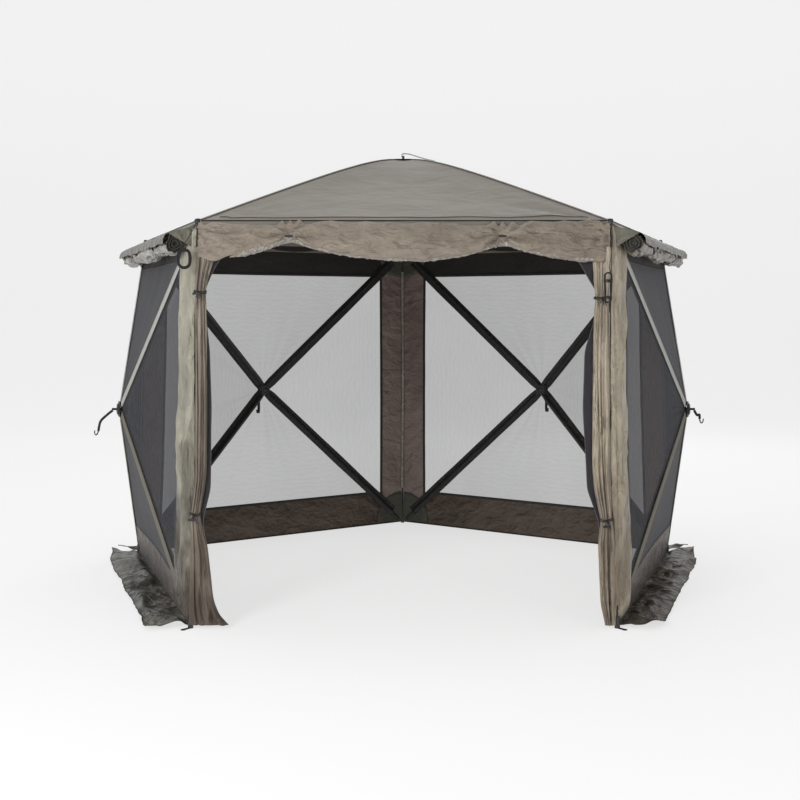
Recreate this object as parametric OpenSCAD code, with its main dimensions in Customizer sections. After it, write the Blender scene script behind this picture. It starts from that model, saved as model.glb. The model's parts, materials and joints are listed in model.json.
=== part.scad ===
// Five-sided pop-up screen house: four screened walls and a roof, each held
// out by a sprung hub, with one open side as the door.
// Millimetres, +Z up, floor at z = 0, the open side faces -Y.

/* [Plan] */
// Side of the floor pentagon, corner to corner
side_floor = 1850; // [1800:5:1900]
// Side of the eave pentagon, a little smaller so the walls lean in
side_eave = 1770; // [1730:5:1790]

/* [Heights] */
// Height of the eave above the floor
eave_h = 1757; // [1700:1:1800]
// Height of the roof's apex above the floor
apex_h = 2152; // [2050:1:2200]

/* [Hubs and poles] */
// How far a wall hub stands out of its wall's plane
pop = 222; // [180:2:240]
// Diameter of a fibreglass pole
pole_d = 11; // [9:0.5:12]
// Radius of a wall hub's plates
hub_r = 45; // [42:1:50]
// Radius of the roof hub's plates
roof_hub_r = 60; // [50:1:64]
// How far the roof poles bow up from a straight line
pole_bow = 20; // [10:1:26]

/* [Cloth] */
// Thickness of a cloth or mesh panel
cloth_t = 1.5; // [1:0.1:2]
// Gap between a panel and the seam it hinges on
seam_gap = 12; // [12:1:16]
// Width of the ground skirt
skirt_w = 190; // [150:5:220]

/* [Wind panels] */
// Radius of a rolled-up wind panel
roll_r = 48; // [40:1:60]
// Height of the rolled-up door valance
valance_h = 140; // [120:1:150]
// Depth of the rolled-up door valance
valance_d = 70; // [50:1:72]

/* [Fittings] */
// Radius of the hole for a ground stake
stake_r = 5.5; // [4:0.25:6]
// Thickness of a stake tab
tab_t = 3; // [2:0.5:4]
// Length of a pull strap
strap_l = 150; // [100:5:160]
// Diameter of the guy line
guy_d = 3; // [2.5:0.5:4]

/* [Hidden] */

// Directions of the sides' outward normals
A_FRONT = -90;
A_RIGHT = -18;
A_BACK_RIGHT = 54;
A_BACK_LEFT = 126;
A_LEFT = 198;
// Directions of the corners: front left, front right, right, back, left
A_CORNERS = [-126, -54, 18, 90, 162];

ap = 0.5 / tan(36);
circ = 0.5 / sin(36);
hem_z = 10;
ap_floor = ap * side_floor;
ap_eave = ap * side_eave;
r_floor = circ * side_floor;
r_eave = circ * side_eave;
// The whole model is moved along Y so that its box is centred
sy = -(r_floor + (skirt_w - 20) / cos(36) - ap_floor - 58) / 2;

// A wall is a trapezium that leans in; its own frame has x along the wall,
// y up the wall and z outward, with the origin at its middle.
lean = atan((ap_floor - ap_eave) / (eave_h - hem_z));
hs = sqrt(pow(ap_floor - ap_eave, 2) + pow(eave_h - hem_z, 2)) / 2;
wb = side_floor / 2;
wt = side_eave / 2;
WC = [[-wb, -hs], [wb, -hs], [wt, hs], [-wt, hs]];
BOTTOM = 0;
PLUS_X = 1;
TOP = 2;
MINUS_X = 3;

function e_p(i) = WC[i];
function e_q(i) = WC[(i + 1) % 4];
function e_len(i) = norm(e_q(i) - e_p(i));
function e_t(i) = (e_q(i) - e_p(i)) / e_len(i);
function e_s0(i) = -(e_p(i) * e_t(i));
function e_dist(i) = -(e_p(i) * [-e_t(i)[1], e_t(i)[0]]);
function e_slant(i) = sqrt(pow(e_dist(i), 2) + pow(pop, 2));

module at_wall(a) {
  translate([0, sy, 0]) rotate([0, 0, a])
    translate([(ap_floor + ap_eave) / 2, 0, (eave_h + hem_z) / 2])
      rotate([90 - lean, 0, 90]) children();
}

// From the wall's frame to a panel's: x along its seam, y towards the hub, z outward
module at_edge(i) {
  f = e_p(i) + e_t(i) * e_s0(i);
  translate([f[0], f[1], 0])
    rotate([0, 0, atan2(e_t(i)[1], e_t(i)[0])])
      rotate([atan(pop / e_dist(i)), 0, 0]) children();
}

// A triangular wall panel, cut to clear its neighbours while it swings through
// the wall's plane
module wall_panel(a, i) {
  s0 = e_s0(i);
  s1 = e_len(i) - s0;
  d = e_dist(i);
  m = (i == TOP || i == BOTTOM) ? 8 : 34;
  top_y = d - 95;
  function xl(y) = -s0 * (1 - y / d) + m * sqrt(s0 * s0 + d * d) / d;
  function xr(y) = s1 * (1 - y / d) - m * sqrt(s1 * s1 + d * d) / d;
  at_wall(a) at_edge(i) translate([0, 0, -cloth_t / 2]) linear_extrude(cloth_t)
    polygon([[xl(seam_gap), seam_gap], [xr(seam_gap), seam_gap],
             [xr(top_y), top_y], [xl(top_y), top_y]]);
}

// Two poles from the corners at the ends of one seam towards the hub
module pole_pair(a, i) {
  s0 = e_s0(i);
  s1 = e_len(i) - s0;
  d = e_dist(i);
  h = e_slant(i);
  at_wall(a) at_edge(i) for (s = [-s0, s1]) {
    u = [-s, h] / norm([-s, h]);
    side = s < 0 ? [u[1], -u[0]] : [-u[1], u[0]];
    flat = norm([s, d]);
    p = [s, 0] + u * 45 + side * 12;
    translate([p[0], p[1], -13]) rotate([0, 0, atan2(u[1], u[0])])
      rotate([0, 90, 0]) {
        cylinder(d = pole_d, h = flat - 38 - 45, $fn = 24);
        cylinder(d = pole_d + 2.5, h = 26, $fn = 24);
      }
  }
}

// Sandwich hub: an inner and an outer plate on a post, with two ears outside
// that hold the pull strap's pin
module wall_hub(a) {
  at_wall(a) translate([0, 0, pop]) {
    translate([0, 0, 16]) cylinder(r = hub_r, h = 4, $fn = 48);
    translate([0, 0, -38]) cylinder(r = hub_r, h = 4, $fn = 48);
    translate([0, 0, -38]) cylinder(r = 8, h = 56, $fn = 32);
    for (x = [-15, 10]) translate([x, -6, 19]) cube([5, 12, 17]);
    translate([-15, 0, 30]) rotate([0, 90, 0]) cylinder(r = 2.5, h = 30, $fn = 24);
  }
}

module strap_shape(l) {
  difference() {
    union() {
      translate([-9.5, 0, 0]) rotate([0, 90, 0]) cylinder(r = 5.5, h = 19, $fn = 32);
      translate([-9.5, -l, -1]) cube([19, l - 3.5, 2]);
    }
    translate([-12, 0, 0]) rotate([0, 90, 0]) cylinder(r = 2.9, h = 24, $fn = 32);
  }
}

// The strap's own stiffness holds it a little away from the cloth
module wall_strap(a) {
  at_wall(a) translate([0, 0, pop + 30]) rotate([-24, 0, 0]) strap_shape(strap_l);
}

// The roof's height above the eave, as a share of its rise, t = 0 at the apex
rise = apex_h - eave_h;
function g(t) = (sqrt(t * t + 0.04) - 0.2) / (sqrt(1.04) - 0.2);
function roof_w(t) = rise * (1 - g(t));
roof_steps = 12;
gore_in = 130;
gore_out = ap_eave - seam_gap;
function gore_x(j) = gore_in + (gore_out - gore_in) * j / roof_steps;
function gore_lim(x) = tan(36) * (ap_eave - norm([ap_eave - x, roof_w(x / ap_eave)])) - 22 / cos(36);

// A roof panel: curved from eave to apex, straight across, and cut back from
// the ridges so that it clears the ridge poles as it turns over
module roof_panel(a) {
  translate([0, sy, 0]) rotate([0, 0, a]) intersection() {
    rotate([90, 0, 0]) linear_extrude(side_eave, center = true) polygon(concat(
      [for (j = [0:roof_steps]) [gore_x(j), eave_h + roof_w(gore_x(j) / ap_eave) - 3]],
      [for (j = [roof_steps:-1:0]) [gore_x(j), eave_h + roof_w(gore_x(j) / ap_eave) - 3 - cloth_t]]));
    translate([0, 0, eave_h - 50]) linear_extrude(rise + 100) polygon(concat(
      [for (j = [0:roof_steps]) [gore_x(j), gore_lim(gore_x(j))]],
      [for (j = [roof_steps:-1:0]) [gore_x(j), -gore_lim(gore_x(j))]]));
  }
}

// A bowed ridge pole in the upright plane through its corner and the centre
pole_u0 = 45;
pole_w0 = -3;
pole_u1 = 1387 * side_eave / 1770;
pole_w1 = roof_w(1 - pole_u1 / r_eave) - 19;
pole_c = norm([pole_u1 - pole_u0, pole_w1 - pole_w0]);
pole_bend = pole_c * pole_c / (8 * pole_bow) + pole_bow / 2;
pole_half = asin(pole_c / 2 / pole_bend);

module roof_pole(a) {
  mid = [(pole_u0 + pole_u1) / 2, (pole_w0 + pole_w1) / 2];
  translate([0, sy, 0]) rotate([0, 0, a]) translate([r_eave, 0, eave_h])
    rotate([90, 0, 180])
      translate([mid[0], mid[1], 0])
        rotate([0, 0, atan2(pole_w1 - pole_w0, pole_u1 - pole_u0)])
          translate([0, pole_bow - pole_bend, 0])
            rotate([0, 0, 90 - pole_half])
              rotate_extrude(angle = 2 * pole_half, $fn = 720)
                translate([pole_bend, 0]) circle(d = pole_d, $fn = 24);
}

module roof_hub_shape() {
  translate([0, sy, apex_h]) {
    translate([0, 0, -24]) cylinder(r = roof_hub_r, h = 5, $fn = 60);
    translate([0, 0, -66]) cylinder(r = roof_hub_r, h = 5, $fn = 60);
    translate([0, 0, -66]) cylinder(r = 10, h = 70, $fn = 32);
    translate([0, 0, 2]) cylinder(r = 17, h = 4, $fn = 32);
    for (y = [-15, 10]) translate([-6, y, 5]) cube([12, 5, 17]);
    translate([0, 15, 16]) rotate([90, 0, 0]) cylinder(r = 2.5, h = 30, $fn = 24);
  }
}

module roof_strap_shape() {
  translate([0, sy, apex_h + 16]) rotate([0, 4, 0]) rotate([0, 0, 90]) strap_shape(strap_l - 16);
}

// Rolled-up wind panel, tied under the eave outside a wall
module wind_roll(a) {
  translate([0, sy, 0]) rotate([0, 0, a]) translate([ap_eave + 92, 0, eave_h - 100])
    rotate([90, 0, 0]) cylinder(r = roll_r, h = side_eave - 30, center = true, $fn = 40);
}

// Rolled-up door valance, flatter and deeper than the others
module valance_roll() {
  r = valance_d / 2;
  translate([0, sy, 0]) rotate([0, 0, A_FRONT]) translate([ap_eave + 8 + r, 0, eave_h - 10 - valance_h / 2])
    rotate([90, 0, 0]) linear_extrude(side_eave - 30, center = true) {
      for (s = [-1, 1]) translate([0, s * (valance_h / 2 - r)]) circle(r = r, $fn = 40);
      square([2 * r, valance_h - 2 * r], center = true);
    }
}

// One wall's ground skirt, lying on the floor; a front end is cut square
module skirt(a, front_minus, front_plus) {
  x0 = ap_floor + 18;
  x1 = ap_floor + skirt_w;
  function lim(x, square_end) = square_end ? side_floor / 2 - 14 : tan(36) * x - 20;
  translate([0, sy, 0]) rotate([0, 0, a]) linear_extrude(cloth_t)
    polygon([[x0, -lim(x0, front_minus)], [x1, -lim(x1, front_minus)],
             [x1, lim(x1, front_plus)], [x0, lim(x0, front_plus)]]);
}

// Door curtain gathered and tied in front of a front corner, s = -1 left, 1 right
module curtain(s) {
  at_wall(A_FRONT) translate([0, 0, 14]) linear_extrude(44)
    polygon([[s * (wb + 8), -hs + 8], [s * (wb - 95), -hs + 8],
             [s * (wt - 95), hs - 165], [s * (wt + 8), hs - 165]]);
}

module rod(p, q, r) {
  v = q - p;
  translate(p) rotate([0, acos(v[2] / norm(v)), atan2(v[1], v[0])])
    cylinder(r = r, h = norm(v), $fn = 16);
}

function floor_corner(k, z) = [r_floor * cos(A_CORNERS[k]), r_floor * sin(A_CORNERS[k]) + sy, z];
function eave_corner(k, z) = [r_eave * cos(A_CORNERS[k]), r_eave * sin(A_CORNERS[k]) + sy, z];
function unit(v) = v / norm(v);
// A point on the corner seam at height z
function seam_at(k, z) = floor_corner(k, hem_z) + (eave_corner(k, eave_h) - floor_corner(k, hem_z)) * (z - hem_z) / (eave_h - hem_z);

// Moulded corner pieces: the feet that hold the lower poles' ends and the eave
// pieces that hold the upper poles' ends, with a barrel the ridge pole turns on
module corner_pieces() {
  for (k = [0:4]) {
    translate(floor_corner(k, 0)) cylinder(r = 12, h = 50, $fn = 32);
    translate(eave_corner(k, eave_h - 22)) cylinder(r = 11, h = 22, $fn = 32);
    translate(eave_corner(k, eave_h)) rotate([90, 0, A_CORNERS[k]]) cylinder(r = 10, h = 16, center = true, $fn = 40);
  }
}

// Piped seams: five upright corner seams, five at the eave, four at the hem
module bindings() {
  for (k = [0:4]) {
    rod(seam_at(k, 56), seam_at(k, eave_h - 28), 4);
    e = unit(eave_corner((k + 1) % 5, 0) - eave_corner(k, 0));
    rod(eave_corner(k, eave_h) + e * 17, eave_corner((k + 1) % 5, eave_h) - e * 17, 4);
    if (k > 0) {
      f = unit(floor_corner((k + 1) % 5, 0) - floor_corner(k, 0));
      rod(floor_corner(k, hem_z) + f * 18, floor_corner((k + 1) % 5, hem_z) - f * 18, 4);
    }
  }
}

module toggle() {
  rotate([0, 90, 0]) {
    cylinder(r = 5, h = 34, center = true, $fn = 20);
    cylinder(r = 6.5, h = 8, center = true, $fn = 20);
  }
}

// Toggles on the valance and the wind rolls, and at the curtains' ties
module toggles() {
  for (x = [-487, 416]) translate([x, sy - ap_eave - 8 - valance_d - 8, eave_h - 70]) toggle();
  for (a = [A_RIGHT, A_BACK_RIGHT, A_BACK_LEFT, A_LEFT]) translate([0, sy, 0]) rotate([0, 0, a])
    for (y = [-440, 440]) translate([ap_eave + 92 + roll_r + 8, y, eave_h - 100]) rotate([0, 0, 90]) toggle();
  for (t = [[-880, 560], [-905, -405], [822, 540], [868, -435]])
    at_wall(A_FRONT) translate([t[0], t[1], 66.5]) toggle();
}

// Webbing tabs at the feet, each with a hole for a ground stake
module tabs() {
  for (k = [0:4]) translate([0, sy, 0]) rotate([0, 0, A_CORNERS[k]]) difference() {
    union() {
      translate([r_floor + 45, 0, 0]) cylinder(r = 10.5, h = tab_t, $fn = 40);
      translate([r_floor + 12.6, -8, 0]) cube([32, 16, tab_t]);
    }
    translate([r_floor + 45, 0, -1]) cylinder(r = stake_r, h = tab_t + 2, $fn = 40);
  }
}

// Guy lines: a short lead from the eave corner down to a tied hank, as points
// in the open side's own frame (x along, y up, z outward)
LEAD_LEFT = [[-885, 864, 12.5], [-890, 836, 52], [-915, 800, 84], [-930, 752, 82]];
LEAD_RIGHT = [[885, 864, 12.5], [892, 815, 50], [880, 720, 86], [864, 651, 80]];
HANK_LEFT = [-930, 706, 90, 66];
HANK_RIGHT = [864, 584, 133, 36];

function bez(c, t) = c[0] * pow(1 - t, 3) + c[1] * 3 * t * pow(1 - t, 2) + c[2] * 3 * t * t * (1 - t) + c[3] * pow(t, 3);
lead_n = 24;

module lead(c) {
  pts = [for (i = [0:lead_n]) bez(c, i / lead_n)];
  function tang(i) = unit(pts[min(i + 1, lead_n)] - pts[max(i - 1, 0)]);
  ring = [for (i = [0:lead_n]) let (t = tang(i), b = unit(cross(t, [1, 0, 0])), n = cross(b, t))
    for (j = [0:7]) pts[i] + (n * cos(45 * j) + b * sin(45 * j)) * guy_d / 2];
  at_wall(A_FRONT) polyhedron(ring, concat(
    [[for (j = [7:-1:0]) j]],
    [for (i = [0:lead_n - 1]) for (j = [0:7]) [i * 8 + j, i * 8 + (j + 1) % 8, (i + 1) * 8 + (j + 1) % 8, (i + 1) * 8 + j]],
    [[for (j = [0:7]) lead_n * 8 + j]]));
}

module hank(h) {
  r = h[3] / 2;
  at_wall(A_FRONT) translate([h[0], h[1], 70]) linear_extrude(22) {
    for (s = [-1, 1]) translate([0, s * (h[2] / 2 - r)]) circle(r = r, $fn = 32);
    square([2 * r, h[2] - 2 * r], center = true);
  }
}

module left_top_panel() { color("#8a8478") wall_panel(A_LEFT, TOP); }
module left_bottom_panel() { color("#463d36") wall_panel(A_LEFT, BOTTOM); }
module left_front_panel() { color("#35353a") wall_panel(A_LEFT, PLUS_X); }
module left_rear_panel() { color("#35353a") wall_panel(A_LEFT, MINUS_X); }
module left_upper_poles() { color("#1b1b1b") pole_pair(A_LEFT, TOP); }
module left_lower_poles() { color("#1b1b1b") pole_pair(A_LEFT, BOTTOM); }
module left_hub() { color("#1e1e1f") wall_hub(A_LEFT); }
module left_pull_strap() { color("#101010") wall_strap(A_LEFT); }
module right_top_panel() { color("#8a8478") wall_panel(A_RIGHT, TOP); }
module right_bottom_panel() { color("#463d36") wall_panel(A_RIGHT, BOTTOM); }
module right_front_panel() { color("#35353a") wall_panel(A_RIGHT, MINUS_X); }
module right_rear_panel() { color("#35353a") wall_panel(A_RIGHT, PLUS_X); }
module right_upper_poles() { color("#1b1b1b") pole_pair(A_RIGHT, TOP); }
module right_lower_poles() { color("#1b1b1b") pole_pair(A_RIGHT, BOTTOM); }
module right_hub() { color("#1e1e1f") wall_hub(A_RIGHT); }
module right_pull_strap() { color("#101010") wall_strap(A_RIGHT); }
module back_left_top_panel() { color("#8a8478") wall_panel(A_BACK_LEFT, TOP); }
module back_left_bottom_panel() { color("#463d36") wall_panel(A_BACK_LEFT, BOTTOM); }
module back_left_front_panel() { color("#9a9ca2") wall_panel(A_BACK_LEFT, PLUS_X); }
module back_left_rear_panel() { color("#9a9ca2") wall_panel(A_BACK_LEFT, MINUS_X); }
module back_left_upper_poles() { color("#1b1b1b") pole_pair(A_BACK_LEFT, TOP); }
module back_left_lower_poles() { color("#1b1b1b") pole_pair(A_BACK_LEFT, BOTTOM); }
module back_left_hub() { color("#1e1e1f") wall_hub(A_BACK_LEFT); }
module back_left_pull_strap() { color("#101010") wall_strap(A_BACK_LEFT); }
module back_right_top_panel() { color("#8a8478") wall_panel(A_BACK_RIGHT, TOP); }
module back_right_bottom_panel() { color("#463d36") wall_panel(A_BACK_RIGHT, BOTTOM); }
module back_right_front_panel() { color("#9a9ca2") wall_panel(A_BACK_RIGHT, MINUS_X); }
module back_right_rear_panel() { color("#9a9ca2") wall_panel(A_BACK_RIGHT, PLUS_X); }
module back_right_upper_poles() { color("#1b1b1b") pole_pair(A_BACK_RIGHT, TOP); }
module back_right_lower_poles() { color("#1b1b1b") pole_pair(A_BACK_RIGHT, BOTTOM); }
module back_right_hub() { color("#1e1e1f") wall_hub(A_BACK_RIGHT); }
module back_right_pull_strap() { color("#101010") wall_strap(A_BACK_RIGHT); }
module roof_front_panel() { color("#89817a") roof_panel(A_FRONT); }
module roof_right_panel() { color("#857d74") roof_panel(A_RIGHT); }
module roof_back_right_panel() { color("#7f786f") roof_panel(A_BACK_RIGHT); }
module roof_back_left_panel() { color("#7f786f") roof_panel(A_BACK_LEFT); }
module roof_left_panel() { color("#857d74") roof_panel(A_LEFT); }
module roof_pole_front_left() { color("#1b1b1b") roof_pole(A_CORNERS[0]); }
module roof_pole_front_right() { color("#1b1b1b") roof_pole(A_CORNERS[1]); }
module roof_pole_right() { color("#1b1b1b") roof_pole(A_CORNERS[2]); }
module roof_pole_back() { color("#1b1b1b") roof_pole(A_CORNERS[3]); }
module roof_pole_left() { color("#1b1b1b") roof_pole(A_CORNERS[4]); }
module roof_hub() { color("#1e1e1f") roof_hub_shape(); }
module roof_pull_strap() { color("#a9a9a6") roof_strap_shape(); }
module door_valance_roll() { color("#8b827b") valance_roll(); }
module right_wind_roll() { color("#807972") wind_roll(A_RIGHT); }
module back_right_wind_roll() { color("#807972") wind_roll(A_BACK_RIGHT); }
module back_left_wind_roll() { color("#807972") wind_roll(A_BACK_LEFT); }
module left_wind_roll() { color("#a7a7a4") wind_roll(A_LEFT); }
module ground_skirts() {
  color("#4b4944") {
    skirt(A_LEFT, false, true);
    skirt(A_BACK_LEFT, false, false);
    skirt(A_BACK_RIGHT, false, false);
    skirt(A_RIGHT, true, false);
  }
}
module door_curtain_left() { color("#a7a499") curtain(-1); }
module door_curtain_right() { color("#9a8e81") curtain(1); }
module corner_fittings() { color("#1f1f1f") corner_pieces(); }
module seam_bindings() { color("#262523") bindings(); }
module tie_toggles() { color("#181818") toggles(); }
module stake_tabs() { color("#2a2a2a") tabs(); }
module guy_lead_left() { color("#151515") lead(LEAD_LEFT); }
module guy_hank_left() { color("#151515") hank(HANK_LEFT); }
module guy_lead_right() { color("#151515") lead(LEAD_RIGHT); }
module guy_hank_right() { color("#151515") hank(HANK_RIGHT); }

left_top_panel();
left_bottom_panel();
left_front_panel();
left_rear_panel();
left_upper_poles();
left_lower_poles();
left_hub();
left_pull_strap();
right_top_panel();
right_bottom_panel();
right_front_panel();
right_rear_panel();
right_upper_poles();
right_lower_poles();
right_hub();
right_pull_strap();
back_left_top_panel();
back_left_bottom_panel();
back_left_front_panel();
back_left_rear_panel();
back_left_upper_poles();
back_left_lower_poles();
back_left_hub();
back_left_pull_strap();
back_right_top_panel();
back_right_bottom_panel();
back_right_front_panel();
back_right_rear_panel();
back_right_upper_poles();
back_right_lower_poles();
back_right_hub();
back_right_pull_strap();
roof_front_panel();
roof_right_panel();
roof_back_right_panel();
roof_back_left_panel();
roof_left_panel();
roof_pole_front_left();
roof_pole_front_right();
roof_pole_right();
roof_pole_back();
roof_pole_left();
roof_hub();
roof_pull_strap();
door_valance_roll();
right_wind_roll();
back_right_wind_roll();
back_left_wind_roll();
left_wind_roll();
ground_skirts();
door_curtain_left();
door_curtain_right();
corner_fittings();
seam_bindings();
tie_toggles();
stake_tabs();
guy_lead_left();
guy_hank_left();
guy_lead_right();
guy_hank_right();
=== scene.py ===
import json
import math
import bpy
import numpy as np
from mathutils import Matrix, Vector, noise

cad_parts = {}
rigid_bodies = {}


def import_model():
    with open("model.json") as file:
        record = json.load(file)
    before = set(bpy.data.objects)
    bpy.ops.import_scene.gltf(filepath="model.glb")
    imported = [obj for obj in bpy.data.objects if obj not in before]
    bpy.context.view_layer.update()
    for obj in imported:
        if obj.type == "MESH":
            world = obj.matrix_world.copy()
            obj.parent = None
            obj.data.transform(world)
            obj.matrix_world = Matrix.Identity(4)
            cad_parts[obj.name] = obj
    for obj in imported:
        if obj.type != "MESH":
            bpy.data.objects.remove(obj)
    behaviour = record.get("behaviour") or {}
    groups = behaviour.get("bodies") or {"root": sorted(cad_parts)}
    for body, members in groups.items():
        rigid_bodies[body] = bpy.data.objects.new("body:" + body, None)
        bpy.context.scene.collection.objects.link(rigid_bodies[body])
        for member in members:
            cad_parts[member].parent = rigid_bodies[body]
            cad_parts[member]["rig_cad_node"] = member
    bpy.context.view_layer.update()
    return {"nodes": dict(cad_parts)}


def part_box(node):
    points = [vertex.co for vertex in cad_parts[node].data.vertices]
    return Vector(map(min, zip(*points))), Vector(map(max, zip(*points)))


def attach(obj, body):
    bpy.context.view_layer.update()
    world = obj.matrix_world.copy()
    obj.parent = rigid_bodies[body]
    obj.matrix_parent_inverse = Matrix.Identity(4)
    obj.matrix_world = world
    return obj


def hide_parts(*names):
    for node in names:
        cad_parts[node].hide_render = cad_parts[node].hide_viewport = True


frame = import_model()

# ---------------------------------------------------------------- dimensions
SF, SE, ZE, ZP, Z0, POP = 1.850, 1.770, 1.757, 2.152, 0.010, 0.222
T36, S36, C36 = math.tan(math.radians(36)), math.sin(math.radians(36)), math.cos(math.radians(36))
APF, APE, RF, RE = 0.5 / T36 * SF, 0.5 / T36 * SE, 0.5 / S36 * SF, 0.5 / S36 * SE
RISE = ZP - ZE
LEAN = math.atan((APF - APE) / (ZE - Z0))
HS = math.hypot(APF - APE, ZE - Z0) / 2
WB, WT = SF / 2, SE / 2
hub_lo, hub_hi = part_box("roof_hub")
SY = (hub_lo.y + hub_hi.y) / 2
WC = [np.array(p) for p in [(-WB, -HS), (WB, -HS), (WT, HS), (-WT, HS)]]
BOTTOM, PLUS, TOP, MINUS = 0, 1, 2, 3
WALLS = {"left": 198, "right": -18, "back_left": 126, "back_right": 54}
SIDES = {"left": {"front": PLUS, "rear": MINUS}, "right": {"front": MINUS, "rear": PLUS},
         "back_left": {"front": PLUS, "rear": MINUS}, "back_right": {"front": MINUS, "rear": PLUS}}
V3 = lambda *a: np.array(a, float)
unit = lambda v: np.asarray(v, float) / np.linalg.norm(v)


def wall_axes(deg):
    a = math.radians(deg)
    n, t, z = V3(math.cos(a), math.sin(a), 0), V3(-math.sin(a), math.cos(a), 0), V3(0, 0, 1)
    o = n * (APF + APE) / 2 + z * (ZE + Z0) / 2 + V3(0, SY, 0)
    return o, t, -n * math.sin(LEAN) + z * math.cos(LEAN), n * math.cos(LEAN) + z * math.sin(LEAN)


class Edge:
    """A wall panel's own frame: x along its seam, y towards the hub, z outward."""

    def __init__(self, deg, i):
        o, tx, up, out = wall_axes(deg)
        p, q = WC[i], WC[(i + 1) % 4]
        self.L = float(np.linalg.norm(q - p))
        t = (q - p) / self.L
        dn = np.array([-t[1], t[0]])
        self.s0 = float(-(p @ t))
        self.s1 = self.L - self.s0
        self.d = float(-(p @ dn))
        f = p + t * self.s0
        th = math.atan(POP / self.d)
        self.h = math.hypot(self.d, POP)
        self.o = o + tx * f[0] + up * f[1]
        self.x = tx * t[0] + up * t[1]
        dd = tx * dn[0] + up * dn[1]
        self.y = dd * math.cos(th) + out * math.sin(th)
        self.z = -dd * math.sin(th) + out * math.cos(th)
        self.hub = o + out * POP

    def at(self, P):
        P = np.asarray(P, float)
        return self.o + P[..., 0:1] * self.x + P[..., 1:2] * self.y + P[..., 2:3] * self.z


def nz(P, f=1.0, seed=0.0):
    """Perlin noise, -1..1, at each point of an (..., 3) array."""
    Q = np.asarray(P, float).reshape(-1, 3) * f + seed * 7.31
    return np.array([noise.noise(q) for q in Q]).reshape(np.shape(P)[:-1])


def ridge(P, f=1.0, seed=0.0):
    """Sharp creases: 1 on a crease, 0 between."""
    return 1 - np.minimum(1, np.abs(nz(P, f, seed)) * 3.2)


def xyz(a, b, c=0.0):
    a, b, c = np.broadcast_arrays(np.asarray(a, float), np.asarray(b, float), np.asarray(c, float))
    return np.stack([a, b, c], -1)


# ---------------------------------------------------------------- materials
def new_mat(name):
    m = bpy.data.materials.new(name)
    m.use_nodes = True
    nt = m.node_tree
    nt.nodes.clear()
    out = nt.nodes.new("ShaderNodeOutputMaterial")
    bs = nt.nodes.new("ShaderNodeBsdfPrincipled")
    nt.links.new(bs.outputs[0], out.inputs[0])
    return m, nt, bs, out


def node(nt, kind, **kw):
    n = nt.nodes.new(kind)
    for k, v in kw.items():
        if k in ("inputs",):
            for kk, vv in v.items():
                n.inputs[kk].default_value = vv
        else:
            setattr(n, k, v)
    return n


def math_n(nt, op, a, b=None, clamp=False):
    n = nt.nodes.new("ShaderNodeMath")
    n.operation = op
    n.use_clamp = clamp
    for i, v in enumerate([a, b]):
        if v is None:
            continue
        if isinstance(v, (int, float)):
            n.inputs[i].default_value = v
        else:
            nt.links.new(v, n.inputs[i])
    return n.outputs[0]


def mix_col(nt, fac, a, b, blend="MIX"):
    n = nt.nodes.new("ShaderNodeMix")
    n.data_type = "RGBA"
    n.blend_type = blend
    for s, v in ((n.inputs[0], fac), (n.inputs[6], a), (n.inputs[7], b)):
        if isinstance(v, (int, float)):
            s.default_value = v
        elif isinstance(v, (tuple, list)):
            s.default_value = (*v[:3], 1)
        else:
            nt.links.new(v, s)
    return n.outputs[2]


def ramp(nt, src, stops):
    n = nt.nodes.new("ShaderNodeValToRGB")
    e = n.color_ramp.elements
    while len(e) < len(stops):
        e.new(0.5)
    for el, (p, c) in zip(e, stops):
        el.position = p
        el.color = (*c, 1) if len(c) == 3 else c
    nt.links.new(src, n.inputs[0])
    return n.outputs[0]


def noise_n(nt, vec, scale, detail=4.0, rough=0.55, dist=0.0):
    n = nt.nodes.new("ShaderNodeTexNoise")
    n.inputs["Scale"].default_value = scale
    n.inputs["Detail"].default_value = detail
    n.inputs["Roughness"].default_value = rough
    n.inputs["Distortion"].default_value = dist
    if vec is not None:
        nt.links.new(vec, n.inputs["Vector"])
    return n.outputs[0]


def mapping(nt, vec, scale=(1, 1, 1), rot=(0, 0, 0)):
    n = nt.nodes.new("ShaderNodeMapping")
    n.inputs["Scale"].default_value = scale
    n.inputs["Rotation"].default_value = rot
    nt.links.new(vec, n.inputs["Vector"])
    return n.outputs[0]


def weave(nt, uv, pitch):
    """Plain weave height: two crossed sets of threads."""
    waves = []
    for axis in ("X", "Y"):
        w = nt.nodes.new("ShaderNodeTexWave")
        w.wave_type, w.bands_direction, w.wave_profile = "BANDS", axis, "SIN"
        w.inputs["Scale"].default_value = 0.314 / pitch / 2
        w.inputs["Distortion"].default_value = 0.25
        w.inputs["Detail"].default_value = 1.0
        nt.links.new(uv, w.inputs["Vector"])
        waves.append(w.outputs["Fac"])
    return math_n(nt, "MAXIMUM", waves[0], waves[1])


def bump(nt, height, strength, dist, normal=None):
    b = nt.nodes.new("ShaderNodeBump")
    b.inputs["Strength"].default_value = strength
    b.inputs["Distance"].default_value = dist
    nt.links.new(height, b.inputs["Height"])
    if normal is not None:
        nt.links.new(normal, b.inputs["Normal"])
    return b.outputs[0]


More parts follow.
